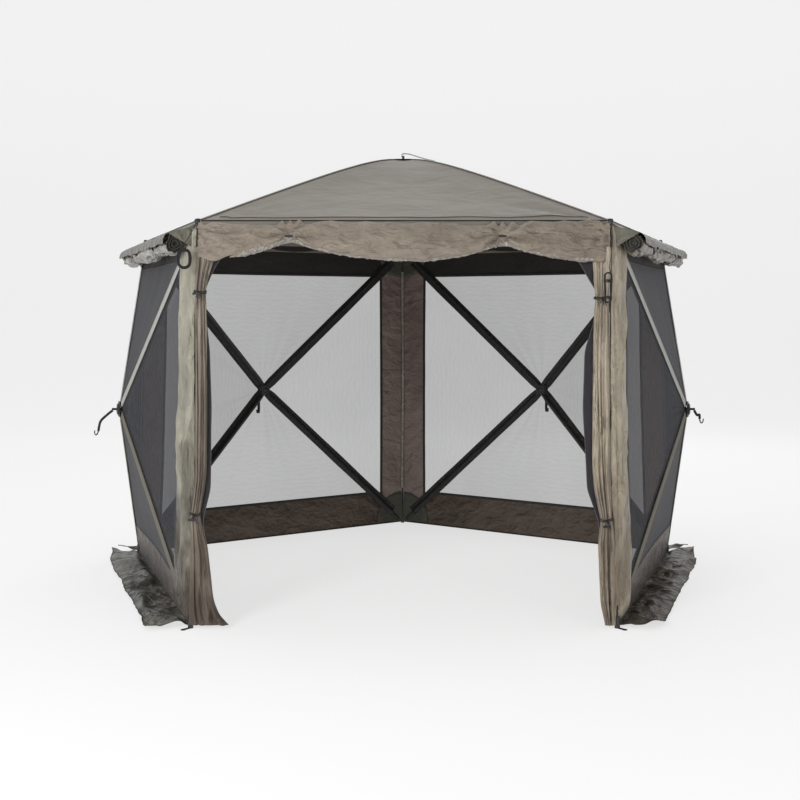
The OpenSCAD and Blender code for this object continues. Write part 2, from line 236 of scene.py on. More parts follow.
def cloth_mat(name, base, dark, light, rough=0.62, rough_var=0.12, sheen=0.25, crinkle=0.5, crinkle_scale=16.0,
              pitch=0.0011, spec=0.35, coat=0.0, metallic=0.0, stretch=(1, 1, 1), weave_k=0.35, wear=0.35, mottled=0.6,
          fade=None, crease=0.0, crest_highlight=0.0):
    base, dark, light = [(1.02 * c[0], c[1], 0.91 * c[2]) for c in (base, dark, light)]
    m, nt, bs, out = new_mat(name)
    tc = nt.nodes.new("ShaderNodeTexCoord")
    uv, ob = tc.outputs["UV"], tc.outputs["Object"]
    st = mapping(nt, ob, stretch)
    big = noise_n(nt, ob, 2.3, 3.0)
    mid = noise_n(nt, st, crinkle_scale, 6.0, 0.62, 0.5)
    fine = noise_n(nt, uv, 420.0, 2.0)
    wv = weave(nt, uv, pitch)
    col = mix_col(nt, ramp(nt, big, [(0.30, (0, 0, 0)), (0.70, (1, 1, 1))]), dark, base)
    col = mix_col(nt, math_n(nt, "MULTIPLY", ramp(nt, mid, [(0.50, (0, 0, 0)), (0.74, (1, 1, 1))]), mottled), col, light)
    col = mix_col(nt, math_n(nt, "MULTIPLY", math_n(nt, "SUBTRACT", 1.0, wv), 0.22), col, dark)
    geo = nt.nodes.new("ShaderNodeNewGeometry")
    edge = ramp(nt, geo.outputs["Pointiness"], [(0.50, (0, 0, 0)), (0.60, (1, 1, 1))])
    col = mix_col(nt, math_n(nt, "MULTIPLY", edge, wear), col, light)
    if crease:
        # painted shade: the cloth's colour is darkened down in its concave folds, where shade falls
        fold_shade_mask = ramp(nt, geo.outputs["Pointiness"], [(0.42, (1, 1, 1)), (0.495, (0, 0, 0))])
        col = mix_col(nt, math_n(nt, "MULTIPLY", fold_shade_mask, 0.75), col, tuple(0.35 * c for c in dark))
    if fade:
        sep = nt.nodes.new("ShaderNodeSeparateXYZ")
        nt.links.new(ob, sep.inputs[0])
        zz = math_n(nt, "ADD", sep.outputs[2], math_n(nt, "MULTIPLY", math_n(nt, "SUBTRACT", mid, 0.5), 0.8))
        low = nt.nodes.new("ShaderNodeMapRange")
        low.interpolation_type = "SMOOTHSTEP"
        low.inputs["From Min"].default_value = fade[0]
        low.inputs["From Max"].default_value = fade[1]
        nt.links.new(zz, low.inputs["Value"])
        col = mix_col(nt, low.outputs[0], mix_col(nt, 1.0, col, fade[2], "MULTIPLY"), col)
    # crumpled cloth: facets that meet in ridges, at two sizes, on bent coordinates
    bent = nt.nodes.new("ShaderNodeVectorMath")
    bent.operation = "MULTIPLY_ADD"
    wob = nt.nodes.new("ShaderNodeTexNoise")
    wob.inputs["Scale"].default_value = crinkle_scale * 0.5
    wob.inputs["Detail"].default_value = 3.0
    nt.links.new(st, wob.inputs["Vector"])
    nt.links.new(wob.outputs[1], bent.inputs[0])
    bent.inputs[1].default_value = (2.2 / crinkle_scale,) * 3
    nt.links.new(st, bent.inputs[2])
    facets = []
    for k in (0.62, 1.7):
        vo = nt.nodes.new("ShaderNodeTexVoronoi")
        vo.feature = "F1"
        vo.inputs["Scale"].default_value = crinkle_scale * k
        nt.links.new(bent.outputs[0], vo.inputs["Vector"])
        facets.append(vo.outputs["Distance"])
    patchy = ramp(nt, noise_n(nt, ob, 6.0, 2.0), [(0.35, (0.15, 0.15, 0.15)), (0.65, (1, 1, 1))])
    # painted shade in the creases between the facets and a painted highlight on their crests, both in patches
    if crease:
        low = ramp(nt, facets[0], [(0.05, (1, 1, 1)), (0.42, (0, 0, 0))])
        crest_highlight_mask = ramp(nt, facets[0], [(0.45, (0, 0, 0)), (0.85, (1, 1, 1))])
        col = mix_col(nt, math_n(nt, "MULTIPLY", math_n(nt, "MULTIPLY", low, patchy), crease * 0.55), col, tuple(0.55 * c for c in dark))
        col = mix_col(nt, math_n(nt, "MULTIPLY", math_n(nt, "MULTIPLY", crest_highlight_mask, patchy), (crest_highlight or crease * 0.6) * 0.9), col, light)
    nt.links.new(col, bs.inputs["Base Color"])
    r = math_n(nt, "ADD", math_n(nt, "MULTIPLY", mid, rough_var * 2), rough - rough_var)
    r = math_n(nt, "ADD", r, math_n(nt, "MULTIPLY", fine, 0.05), clamp=True)
    nt.links.new(r, bs.inputs["Roughness"])
    # creases: the zero line of a stretched noise is a sharp fold
    cr = math_n(nt, "ABSOLUTE", math_n(nt, "SUBTRACT", noise_n(nt, st, crinkle_scale * 0.8, 5.0, 0.6, 0.8), 0.5))
    cr = ramp(nt, cr, [(0.0, (1, 1, 1)), (0.06, (0, 0, 0))])
    n1 = bump(nt, cr, crinkle * 0.55, 0.004)
    if crease:
        n1 = bump(nt, facets[0], min(1.0, crease * 1.0), 0.040, n1)
        n1 = bump(nt, facets[1], min(1.0, crease * 0.9), 0.016, n1)
    n2 = bump(nt, mid, crinkle, 0.014, n1)
    n3 = bump(nt, wv, weave_k, 0.0004, n2)
    nt.links.new(n3, bs.inputs["Normal"])
    bs.inputs["Sheen Weight"].default_value = sheen
    bs.inputs["Sheen Roughness"].default_value = 0.45
    bs.inputs["Specular IOR Level"].default_value = spec
    bs.inputs["Coat Weight"].default_value = coat
    bs.inputs["Coat Roughness"].default_value = 0.25
    bs.inputs["Metallic"].default_value = metallic
    return m


def mesh_mat(name, thread, open_share=0.5):
    """Knitted screen: open_share of it is holes, and its threads' thickness closes them as it turns edge-on."""
    m, nt, bs, out = new_mat(name)
    tc = nt.nodes.new("ShaderNodeTexCoord")
    uv, ob = tc.outputs["UV"], tc.outputs["Object"]
    big = noise_n(nt, ob, 3.0, 3.0)
    knit = weave(nt, uv, 0.0016)
    ripple = nt.nodes.new("ShaderNodeTexWave")
    ripple.wave_type, ripple.bands_direction = "BANDS", "Y"
    ripple.inputs["Scale"].default_value = 11.0
    ripple.inputs["Distortion"].default_value = 9.0
    ripple.inputs["Detail"].default_value = 3.0
    ripple.inputs["Detail Scale"].default_value = 1.4
    nt.links.new(uv, ripple.inputs["Vector"])
    soft = ramp(nt, ripple.outputs["Fac"], [(0.25, (0, 0, 0)), (0.95, (1, 1, 1))])
    col = mix_col(nt, big, tuple(0.75 * c for c in thread), tuple(min(1, 1.25 * c) for c in thread))
    col = mix_col(nt, math_n(nt, "MULTIPLY", soft, 0.25), col, tuple(min(1, 1.8 * c) for c in thread))
    nt.links.new(col, bs.inputs["Base Color"])
    nt.links.new(math_n(nt, "ADD", math_n(nt, "MULTIPLY", knit, 0.2), 0.55), bs.inputs["Roughness"])
    nt.links.new(bump(nt, knit, 0.4, 0.0006), bs.inputs["Normal"])
    bs.inputs["Sheen Weight"].default_value = 0.05
    bs.inputs["Specular IOR Level"].default_value = 0.3
    tr = nt.nodes.new("ShaderNodeBsdfTransparent")
    lw = nt.nodes.new("ShaderNodeLayerWeight")
    lw.inputs["Blend"].default_value = 0.5
    cosn = math_n(nt, "MAXIMUM", math_n(nt, "SUBTRACT", 1.0, lw.outputs["Facing"]), 0.06)
    through = math_n(nt, "POWER", open_share, math_n(nt, "DIVIDE", 1.0, cosn))
    cover = math_n(nt, "SUBTRACT", 1.0, through)
    cover = math_n(nt, "ADD", cover, math_n(nt, "MULTIPLY", math_n(nt, "SUBTRACT", soft, 0.5), 0.018))
    cover = math_n(nt, "ADD", cover, math_n(nt, "MULTIPLY", math_n(nt, "SUBTRACT", big, 0.5), 0.05), clamp=True)
    mx = nt.nodes.new("ShaderNodeMixShader")
    nt.links.new(cover, mx.inputs[0])
    nt.links.new(tr.outputs[0], mx.inputs[1])
    nt.links.new(bs.outputs[0], mx.inputs[2])
    nt.links.new(mx.outputs[0], out.inputs[0])
    return m


def plastic_mat(name, base, light, rough=0.42, grain=900.0, fibre=None):
    m, nt, bs, out = new_mat(name)
    tc = nt.nodes.new("ShaderNodeTexCoord")
    ob = tc.outputs["Object"]
    big = noise_n(nt, ob, 9.0, 4.0)
    g = noise_n(nt, ob, grain, 2.0)
    geo = nt.nodes.new("ShaderNodeNewGeometry")
    edge = ramp(nt, geo.outputs["Pointiness"], [(0.50, (0, 0, 0)), (0.58, (1, 1, 1))])
    col = mix_col(nt, big, tuple(0.8 * c for c in base), tuple(1.2 * c for c in base))
    col = mix_col(nt, math_n(nt, "MULTIPLY", edge, 0.5), col, light)
    if fibre:
        w = nt.nodes.new("ShaderNodeTexWave")
        w.inputs["Scale"].default_value = fibre
        w.inputs["Distortion"].default_value = 3.0
        nt.links.new(ob, w.inputs["Vector"])
        col = mix_col(nt, math_n(nt, "MULTIPLY", w.outputs["Fac"], 0.25), col, light)
    nt.links.new(col, bs.inputs["Base Color"])
    nt.links.new(math_n(nt, "ADD", math_n(nt, "MULTIPLY", big, 0.2), rough - 0.1), bs.inputs["Roughness"])
    nt.links.new(bump(nt, g, 0.25, 0.0004), bs.inputs["Normal"])
    bs.inputs["Specular IOR Level"].default_value = 0.45
    return m


def webbing_mat(name, base, light, rough=0.7, pitch=0.0016, edge_k=0.3, stitch=None):
    m, nt, bs, out = new_mat(name)
    tc = nt.nodes.new("ShaderNodeTexCoord")
    uv, ob = tc.outputs["UV"], tc.outputs["Object"]
    rot = mapping(nt, uv, (1, 1, 1), (0, 0, math.radians(38)))
    wv = weave(nt, rot, pitch)
    big = noise_n(nt, ob, 14.0, 4.0)
    fuzz = noise_n(nt, ob, 700.0, 2.0)
    col = mix_col(nt, big, tuple(0.75 * c for c in base), base)
    col = mix_col(nt, math_n(nt, "MULTIPLY", wv, 0.45), col, light)
    geo = nt.nodes.new("ShaderNodeNewGeometry")
    edge = ramp(nt, geo.outputs["Pointiness"], [(0.50, (0, 0, 0)), (0.58, (1, 1, 1))])
    col = mix_col(nt, math_n(nt, "MULTIPLY", edge, edge_k), col, light)
    height = wv
    if stitch:
        # rows of 3 mm stitches that run along the tape, 5 mm apart
        sep = nt.nodes.new("ShaderNodeSeparateXYZ")
        nt.links.new(uv, sep.inputs[0])
        row = math_n(nt, "LESS_THAN", math_n(nt, "ABSOLUTE", math_n(nt, "SUBTRACT", math_n(nt, "FRACT", math_n(nt, "DIVIDE", sep.outputs[0], 0.006)), 0.5)), 0.11)
        dash = math_n(nt, "LESS_THAN", math_n(nt, "FRACT", math_n(nt, "DIVIDE", sep.outputs[1], 0.0042)), 0.68)
        thread = math_n(nt, "MULTIPLY", row, dash)
        col = mix_col(nt, math_n(nt, "MULTIPLY", thread, 0.8), col, stitch)
        height = math_n(nt, "ADD", wv, math_n(nt, "MULTIPLY", thread, 1.5))
    nt.links.new(col, bs.inputs["Base Color"])
    nt.links.new(math_n(nt, "ADD", math_n(nt, "MULTIPLY", fuzz, 0.2), rough - 0.1), bs.inputs["Roughness"])
    nt.links.new(bump(nt, height, 0.6, 0.0006), bs.inputs["Normal"])
    bs.inputs["Sheen Weight"].default_value = 0.06
    bs.inputs["Specular IOR Level"].default_value = 0.3
    return m


ROOF = cloth_mat("roof_cloth", (0.236, 0.213, 0.196), (0.200, 0.180, 0.166), (0.285, 0.260, 0.240), rough=0.5, sheen=0.12,
                 crinkle=0.14, crinkle_scale=7.0, stretch=(1, 1, 2.5), spec=0.4, mottled=0.22, wear=0.12, crease=0.22)
VALANCE = cloth_mat("valance_cloth", (0.255, 0.212, 0.180), (0.190, 0.155, 0.128), (0.36, 0.315, 0.275), rough=0.42, sheen=0.12,
                    crinkle=0.55, crinkle_scale=15.0, stretch=(1, 1, 2.2), spec=0.5, coat=0.10, mottled=0.25, crease=0.5, crest_highlight=0.4)
# the rolls on the left-hand walls take a pale copy of the roll cloth and those on the right-hand walls a darker one:
# partly the cloth's own greyer and browner tones, partly painted light on the side towards the key light and painted
# shade on the side away from it
ROLL_L_PALE_LIT = cloth_mat("wind_panel_cloth", (0.27, 0.265, 0.245), (0.080, 0.072, 0.058), (0.66, 0.66, 0.64), rough=0.30, sheen=0.05,
                 crinkle=1.0, crinkle_scale=16.0, spec=0.6, coat=0.2, mottled=0.6, crease=0.9, crest_highlight=0.9)
ROLL_R_BROWN_SHADED = cloth_mat("wind_panel_cloth_right", (0.120, 0.103, 0.082), (0.045, 0.037, 0.028), (0.33, 0.30, 0.26), rough=0.32, sheen=0.05,
                   crinkle=1.0, crinkle_scale=16.0, spec=0.5, coat=0.15, mottled=0.5, crease=0.9, crest_highlight=0.8)
ROLL_IN = cloth_mat("wind_panel_wound", (0.060, 0.056, 0.050), (0.025, 0.023, 0.021), (0.15, 0.14, 0.13), rough=0.45, sheen=0.05,
                    crinkle=0.6, crinkle_scale=30.0, spec=0.4, mottled=0.4)
HOOD = cloth_mat("eave_hood_cloth", (0.115, 0.110, 0.088), (0.075, 0.070, 0.055), (0.22, 0.21, 0.175), rough=0.42, sheen=0.1,
                 crinkle=0.5, crinkle_scale=14.0, spec=0.5, coat=0.1, mottled=0.25, crease=0.7)
BAND = cloth_mat("band_cloth", (0.215, 0.163, 0.158), (0.150, 0.112, 0.108), (0.30, 0.245, 0.235), rough=0.5, sheen=0.12,
                 crinkle=0.5, crinkle_scale=15.0, stretch=(1, 1, 1.5), spec=0.4, coat=0.05, mottled=0.2, crease=0.34, crest_highlight=0.25)
HEMBAND = cloth_mat("hem_band_cloth", (0.082, 0.059, 0.047), (0.052, 0.037, 0.030), (0.135, 0.105, 0.086), rough=0.5, sheen=0.1,
                    crinkle=0.5, crinkle_scale=15.0, stretch=(1, 1, 1.4), spec=0.4, coat=0.05, mottled=0.2, crease=0.42, crest_highlight=0.3)
# the top bands are painted near-black: painted shade where the rolled wind panel outside keeps the light off them
TOPBAND_SHADED = cloth_mat("top_band_cloth", (0.020, 0.018, 0.016), (0.013, 0.011, 0.010), (0.038, 0.034, 0.031), rough=0.6, sheen=0.08,
                    crinkle=0.5, crinkle_scale=14.0, spec=0.3, mottled=0.2)
COLUMN = cloth_mat("column_cloth", (0.36, 0.350, 0.300), (0.250, 0.235, 0.195), (0.56, 0.55, 0.48), rough=0.45, sheen=0.15,
                   crinkle=0.9, crinkle_scale=17.0, stretch=(1, 1, 0.45), spec=0.5, coat=0.1, mottled=0.3,
                   fade=(0.20, 1.50, (0.17, 0.14, 0.115)), crease=0.85, crest_highlight=0.7)
COLUMN_R = cloth_mat("column_cloth_right", (0.44, 0.385, 0.315), (0.285, 0.243, 0.193), (0.62, 0.56, 0.47), rough=0.45, sheen=0.15,
                     crinkle=0.9, crinkle_scale=17.0, stretch=(1, 1, 0.45), spec=0.5, coat=0.1, mottled=0.3,
                     fade=(0.05, 0.95, (0.55, 0.50, 0.46)), crease=0.85, crest_highlight=0.7)
CURTAIN = cloth_mat("curtain_cloth", (0.225, 0.182, 0.155), (0.120, 0.092, 0.076), (0.40, 0.355, 0.31), rough=0.42, sheen=0.15,
                    crinkle=0.7, crinkle_scale=20.0, stretch=(1, 1, 0.2), spec=0.5, coat=0.12, mottled=0.3,
                    fade=(0.10, 0.95, (0.40, 0.33, 0.27)), crease=0.75, crest_highlight=0.55)
CURTAIN_R = cloth_mat("curtain_cloth_right", (0.455, 0.395, 0.325), (0.25, 0.206, 0.163), (0.63, 0.57, 0.48), rough=0.42, sheen=0.15,
                      crinkle=0.8, crinkle_scale=20.0, stretch=(1, 1, 0.3), spec=0.5, coat=0.12, mottled=0.3,
                      fade=(0.05, 0.95, (0.55, 0.50, 0.46)), crease=0.85, crest_highlight=0.6)
SKIRT = cloth_mat("skirt_cloth", (0.052, 0.050, 0.038), (0.034, 0.032, 0.024), (0.36, 0.35, 0.31), rough=0.40, sheen=0.0,
                  crinkle=1.0, crinkle_scale=11.0, spec=0.55, coat=0.16, mottled=0.25, crease=0.9, crest_highlight=0.75)
SKIRT_R = cloth_mat("skirt_cloth_right", (0.060, 0.045, 0.033), (0.038, 0.028, 0.020), (0.26, 0.22, 0.18), rough=0.42, sheen=0.0,
                    crinkle=1.0, crinkle_scale=11.0, spec=0.35, coat=0.05, mottled=0.25, crease=0.9, crest_highlight=0.6)
GUSSET = cloth_mat("gusset_cloth", (0.060, 0.060, 0.050), (0.042, 0.042, 0.034), (0.095, 0.094, 0.080), rough=0.55, sheen=0.1,
                   crinkle=0.4, crinkle_scale=20.0, spec=0.35, mottled=0.2)
SLEEVE = cloth_mat("sleeve_cloth", (0.011, 0.011, 0.011), (0.006, 0.006, 0.006), (0.028, 0.028, 0.027), rough=0.42, sheen=0.08,
                   crinkle=0.6, crinkle_scale=30.0, spec=0.4, mottled=0.3)
PURPLE = cloth_mat("door_mesh_cloth", (0.030, 0.027, 0.036), (0.016, 0.014, 0.019), (0.065, 0.060, 0.076), rough=0.6, sheen=0.2,
                   crinkle=0.5, crinkle_scale=30.0, stretch=(1, 1, 0.3), spec=0.3, mottled=0.4)
TAPE_L = webbing_mat("tape_light", (0.42, 0.41, 0.38), (0.60, 0.59, 0.56), stitch=(0.5, 0.49, 0.46))
TAPE_D = webbing_mat("tape_olive", (0.140, 0.126, 0.092), (0.22, 0.20, 0.155), stitch=(0.19, 0.175, 0.135))
SEAMTAPE = webbing_mat("seam_tape", (0.080, 0.070, 0.060), (0.13, 0.115, 0.10), stitch=(0.17, 0.155, 0.135))
BINDING = webbing_mat("binding_tape", (0.014, 0.013, 0.013), (0.035, 0.033, 0.032), stitch=(0.045, 0.043, 0.041))
BLACKWEB = webbing_mat("black_webbing", (0.010, 0.010, 0.011), (0.030, 0.030, 0.032), stitch=(0.05, 0.05, 0.05))
GREYWEB = webbing_mat("grey_webbing", (0.36, 0.37, 0.36), (0.62, 0.63, 0.62), pitch=0.0022)
CORD = webbing_mat("guy_cord", (0.010, 0.010, 0.010), (0.040, 0.040, 0.038), pitch=0.0012)
MESH = mesh_mat("mesh", (0.024, 0.025, 0.031), 0.545)
PLASTIC = plastic_mat("hub_plastic", (0.012, 0.012, 0.013), (0.05, 0.05, 0.05))
POLE = plastic_mat("pole_fibreglass", (0.010, 0.010, 0.010), (0.032, 0.032, 0.032), rough=0.34, grain=1500.0, fibre=60.0)
SILVER = cloth_mat("foil_edge", (0.34, 0.31, 0.295), (0.13, 0.11, 0.10), (0.85, 0.82, 0.80), rough=0.34, rough_var=0.2, sheen=0.0,
                   crinkle=1.0, crinkle_scale=70.0, spec=0.6, coat=0.3, metallic=0.2, mottled=0.9)


# ---------------------------------------------------------------- geometry
def add_object(name, verts, faces, mats, face_mats=None, uvs=None, smooth=True):
    me = bpy.data.meshes.new(name)
    me.from_pydata([tuple(map(float, v)) for v in verts], [], [tuple(int(i) for i in f) for f in faces])
    for m in mats:
        me.materials.append(m)
    if face_mats is not None:
        me.polygons.foreach_set("material_index", np.asarray(face_mats, np.int32))
    lay = me.uv_layers.new(name="UVMap")
    if uvs is not None:
        idx = np.zeros(len(me.loops), np.int32)
        me.loops.foreach_get("vertex_index", idx)
        lay.data.foreach_set("uv", np.asarray(uvs, np.float32)[idx].ravel())
    me.polygons.foreach_set("use_smooth", [smooth] * len(me.polygons))
    me.validate()
    me.update()
    o = bpy.data.objects.new(name, me)
    bpy.context.scene.collection.objects.link(o)
    return o


class Build:
    """Collects grids and loops into one object."""

    def __init__(self):
        self.v, self.f, self.m, self.uv, self.n = [], [], [], [], 0

    def grid(self, P, mat=0, close_v=False, close_u=False, uv=None, flip=False, face_mat=None):
        P = np.asarray(P, float)
        a, b = P.shape[:2]
        base = self.n
        if uv is None:
            du = np.concatenate([np.zeros((a, 1)), np.cumsum(np.linalg.norm(np.diff(P, axis=1), axis=-1), 1)], 1)
            dv = np.concatenate([np.zeros((1, b)), np.cumsum(np.linalg.norm(np.diff(P, axis=0), axis=-1), 0)], 0)
            uv = np.stack([du, dv], -1)
        self.v.append(P.reshape(-1, 3))
        self.uv.append(np.asarray(uv).reshape(-1, 2))
        self.n += a * b
        for i in range(a if close_u else a - 1):
            for j in range(b if close_v else b - 1):
                q = [base + i * b + j, base + i * b + (j + 1) % b, base + ((i + 1) % a) * b + (j + 1) % b, base + ((i + 1) % a) * b + j]
                self.f.append(q[::-1] if flip else q)
                self.m.append(face_mat(i, j) if face_mat else mat)
        return base

    def fan(self, ring, centre, mat=0, flip=False):
        """A cap: ring is a list of vertex numbers, centre a point."""
        c = self.n
        self.v.append(np.asarray([centre], float))
        self.uv.append(np.zeros((1, 2)))
        self.n += 1
        k = len(ring)
        for j in range(k):
            t = [ring[j], ring[(j + 1) % k], c]
            self.f.append(t[::-1] if flip else t)
            self.m.append(mat)

    def make(self, name, mats, smooth=True, weld=True):
        o = add_object(name, np.concatenate(self.v), self.f, mats, self.m, np.concatenate(self.uv), smooth)
        return o


def tube(b, pts, radius, sides=10, mat=0, caps=True, flat=None, up=(0, 0, 1)):
    """A tube, or with flat=(w, t) a strap, along points."""
    pts = np.asarray(pts, float)
    n = len(pts)
    tan = np.gradient(pts, axis=0)
    tan /= np.linalg.norm(tan, axis=1)[:, None]
    ref = np.asarray(up, float)
    rings = []
    nrm = None
    for i in range(n):
        if nrm is None:
            x = np.cross(tan[i], ref)
            if np.linalg.norm(x) < 1e-3:
                x = np.cross(tan[i], (1, 0, 0.1))
            nrm = unit(x)
        else:
            nrm = unit(nrm - tan[i] * (nrm @ tan[i]))
        bi = np.cross(tan[i], nrm)
        r = radius[i] if hasattr(radius, "__len__") else radius
        a = np.arange(sides) * 2 * math.pi / sides
        if flat:
            ca, sa = np.cos(a), np.sin(a)
            e = 0.28
            xs = np.sign(ca) * np.abs(ca) ** e * flat[0] / 2
            ys = np.sign(sa) * np.abs(sa) ** e * flat[1] / 2
        else:
            xs, ys = np.cos(a) * r, np.sin(a) * r
        rings.append(pts[i] + xs[:, None] * nrm + ys[:, None] * bi)
    P = np.array(rings)
    base = b.grid(P, mat, close_v=True)
    if caps:
        b.fan([base + j for j in range(sides)], pts[0], mat, flip=False)
        b.fan([base + (n - 1) * sides + j for j in range(sides)], pts[-1], mat, flip=True)
    return base


def smoothstep(a, b, x):
    t = np.clip((x - a) / (b - a), 0, 1)
    return t * t * (3 - 2 * t)


def spline(pts, n):
    """Catmull-Rom through points, n samples in all."""
    P = np.asarray(pts, float)
    P = np.vstack([2 * P[0] - P[1], P, 2 * P[-1] - P[-2]])
    out = []
    k = len(P) - 3
    for s in np.linspace(0, k, n):
        i = min(int(s), k - 1)
        t = s - i
        a, b_, c, d = P[i:i + 4]
        out.append(0.5 * ((2 * b_) + (c - a) * t + (2 * a - 5 * b_ + 4 * c - d) * t * t + (3 * b_ - a - 3 * c + d) * t ** 3))
    return np.array(out)


# ---------------------------------------------------------------- camera, light, stage
cam_d = bpy.data.cameras.new("camera")
cam = bpy.data.objects.new("camera", cam_d)
bpy.context.scene.collection.objects.link(cam)
cam_d.sensor_width = 36.0
cam_d.lens = 58.88
cam.location = (-0.017, SY - 6.866, 1.369)
cam.rotation_euler = (math.radians(90 - 3.87), 0, 0)
cam_d.clip_end = 200
bpy.context.scene.camera = cam

world = bpy.data.worlds.new("world")
bpy.context.scene.world = world
world.use_nodes = True
wn = world.node_tree
bg = wn.nodes["Background"]
bg.inputs[0].default_value = (0.955, 0.96, 0.965, 1)
bg.inputs[1].default_value = 0.34


def area(name, loc, target, size, power, colour=(1, 1, 1)):
    d = bpy.data.lights.new(name, "AREA")
    d.shape = "RECTANGLE"
    d.size, d.size_y = size
    d.energy = power
    d.color = colour
    o = bpy.data.objects.new(name, d)
    bpy.context.scene.collection.objects.link(o)
    o.location = loc
    o.rotation_euler = (Vector(target) - Vector(loc)).to_track_quat("-Z", "Y").to_euler()
    return o


area("key", (-3.4, SY - 6.6, 2.9), (0, SY, 1.1), (1.8, 1.8), 222)
area("fill", (4.2, SY - 6.6, 2.0), (0, SY, 1.0), (3.0, 3.0), 56)
area("top", (-0.6, SY - 0.6, 6.5), (0, SY, 1.5), (3.5, 3.5), 40)
area("behind", (2.2, SY + 7.0, 4.2), (0, SY, 1.0), (3.0, 3.0), 60)

st = Build()
S, D = 45.0, 12.0
prof = []
for y in np.linspace(-45, 7, 12):
    prof.append((y, 0.0))
for a in np.linspace(0, 90, 16)[1:]:
    prof.append((7 + 5 * math.sin(math.radians(a)), 5 - 5 * math.cos(math.radians(a))))
prof.append((12.0, 40.0))
P = np.array([[(x, y + SY, z) for x in np.linspace(-S, S, 15)] for y, z in prof])
st.grid(P)
m, nt, bs, out = new_mat("studio_paper")
tc = nt.nodes.new("ShaderNodeTexCoord")
f = noise_n(nt, tc.outputs["Object"], 1.5, 3.0)
col = mix_col(nt, f, (0.345, 0.345, 0.345), (0.352, 0.352, 0.352))
nt.links.new(col, bs.inputs["Base Color"])
bs.inputs["Emission Color"].default_value = (1, 1, 1, 1)
bs.inputs["Emission Strength"].default_value = 0.672
bs.inputs["Roughness"].default_value = 0.95
bs.inputs["Specular IOR Level"].default_value = 0.05
floor = st.make("studio_sweep", [m])

# ---------------------------------------------------------------- wall panels
BANDW = {"top": 0.170, "bottom": 0.200, "front": 0.150, "rear": 0.150}
APEX = 0.040


def panel_grid(e, seed, rows_v, ncol, amp):
    """Rows from seam to hub, columns along the seam; gentle tension wrinkles."""
    P = np.zeros((len(rows_v), ncol, 3))
    for i, v in enumerate(rows_v):
        u = v / e.h
        P[i, :, 0] = np.linspace(-e.s0 * (1 - u), e.s1 * (1 - u), ncol)
        P[i, :, 1] = v
    b0 = P[..., 1] / e.h
    bl = (P[..., 0] + e.s0 * (1 - b0)) / (e.s0 + e.s1)
    br = 1 - b0 - bl
    body = np.clip(27 * b0 * bl * br, 0, 1)
    z = -amp * body
    # creases that fan out of the two seam corners and the hub
    for cx, cy in ((-e.s0, 0), (e.s1, 0), (0, e.h)):
        dx, dy = P[..., 0] - cx, P[..., 1] - cy
        r = np.hypot(dx, dy)
        a = np.arctan2(dy, dx)
        z += 0.0045 * np.exp(-r / 0.35) * smoothstep(0.02, 0.12, r) * nz(xyz(a * 7.0, r * 2.0, seed + cx), 1.0) * np.minimum(1, body * 6)
    z += 0.003 * nz(xyz(P[..., 0] * 5, P[..., 1] * 3, seed * 3.1)) * np.minimum(1, body * 4)
    P[..., 2] = z
    return P


def edge_mask(e, P):
    """0 at the panel's seam and at its ridges, 1 inside."""
    u = P[..., 1] / e.h
    dl = (P[..., 0] + e.s0 * (1 - u))
    dr = (e.s1 * (1 - u) - P[..., 0])
    return smoothstep(0, 0.05, dl) * smoothstep(0, 0.05, dr) * smoothstep(0, 0.03, P[..., 1])


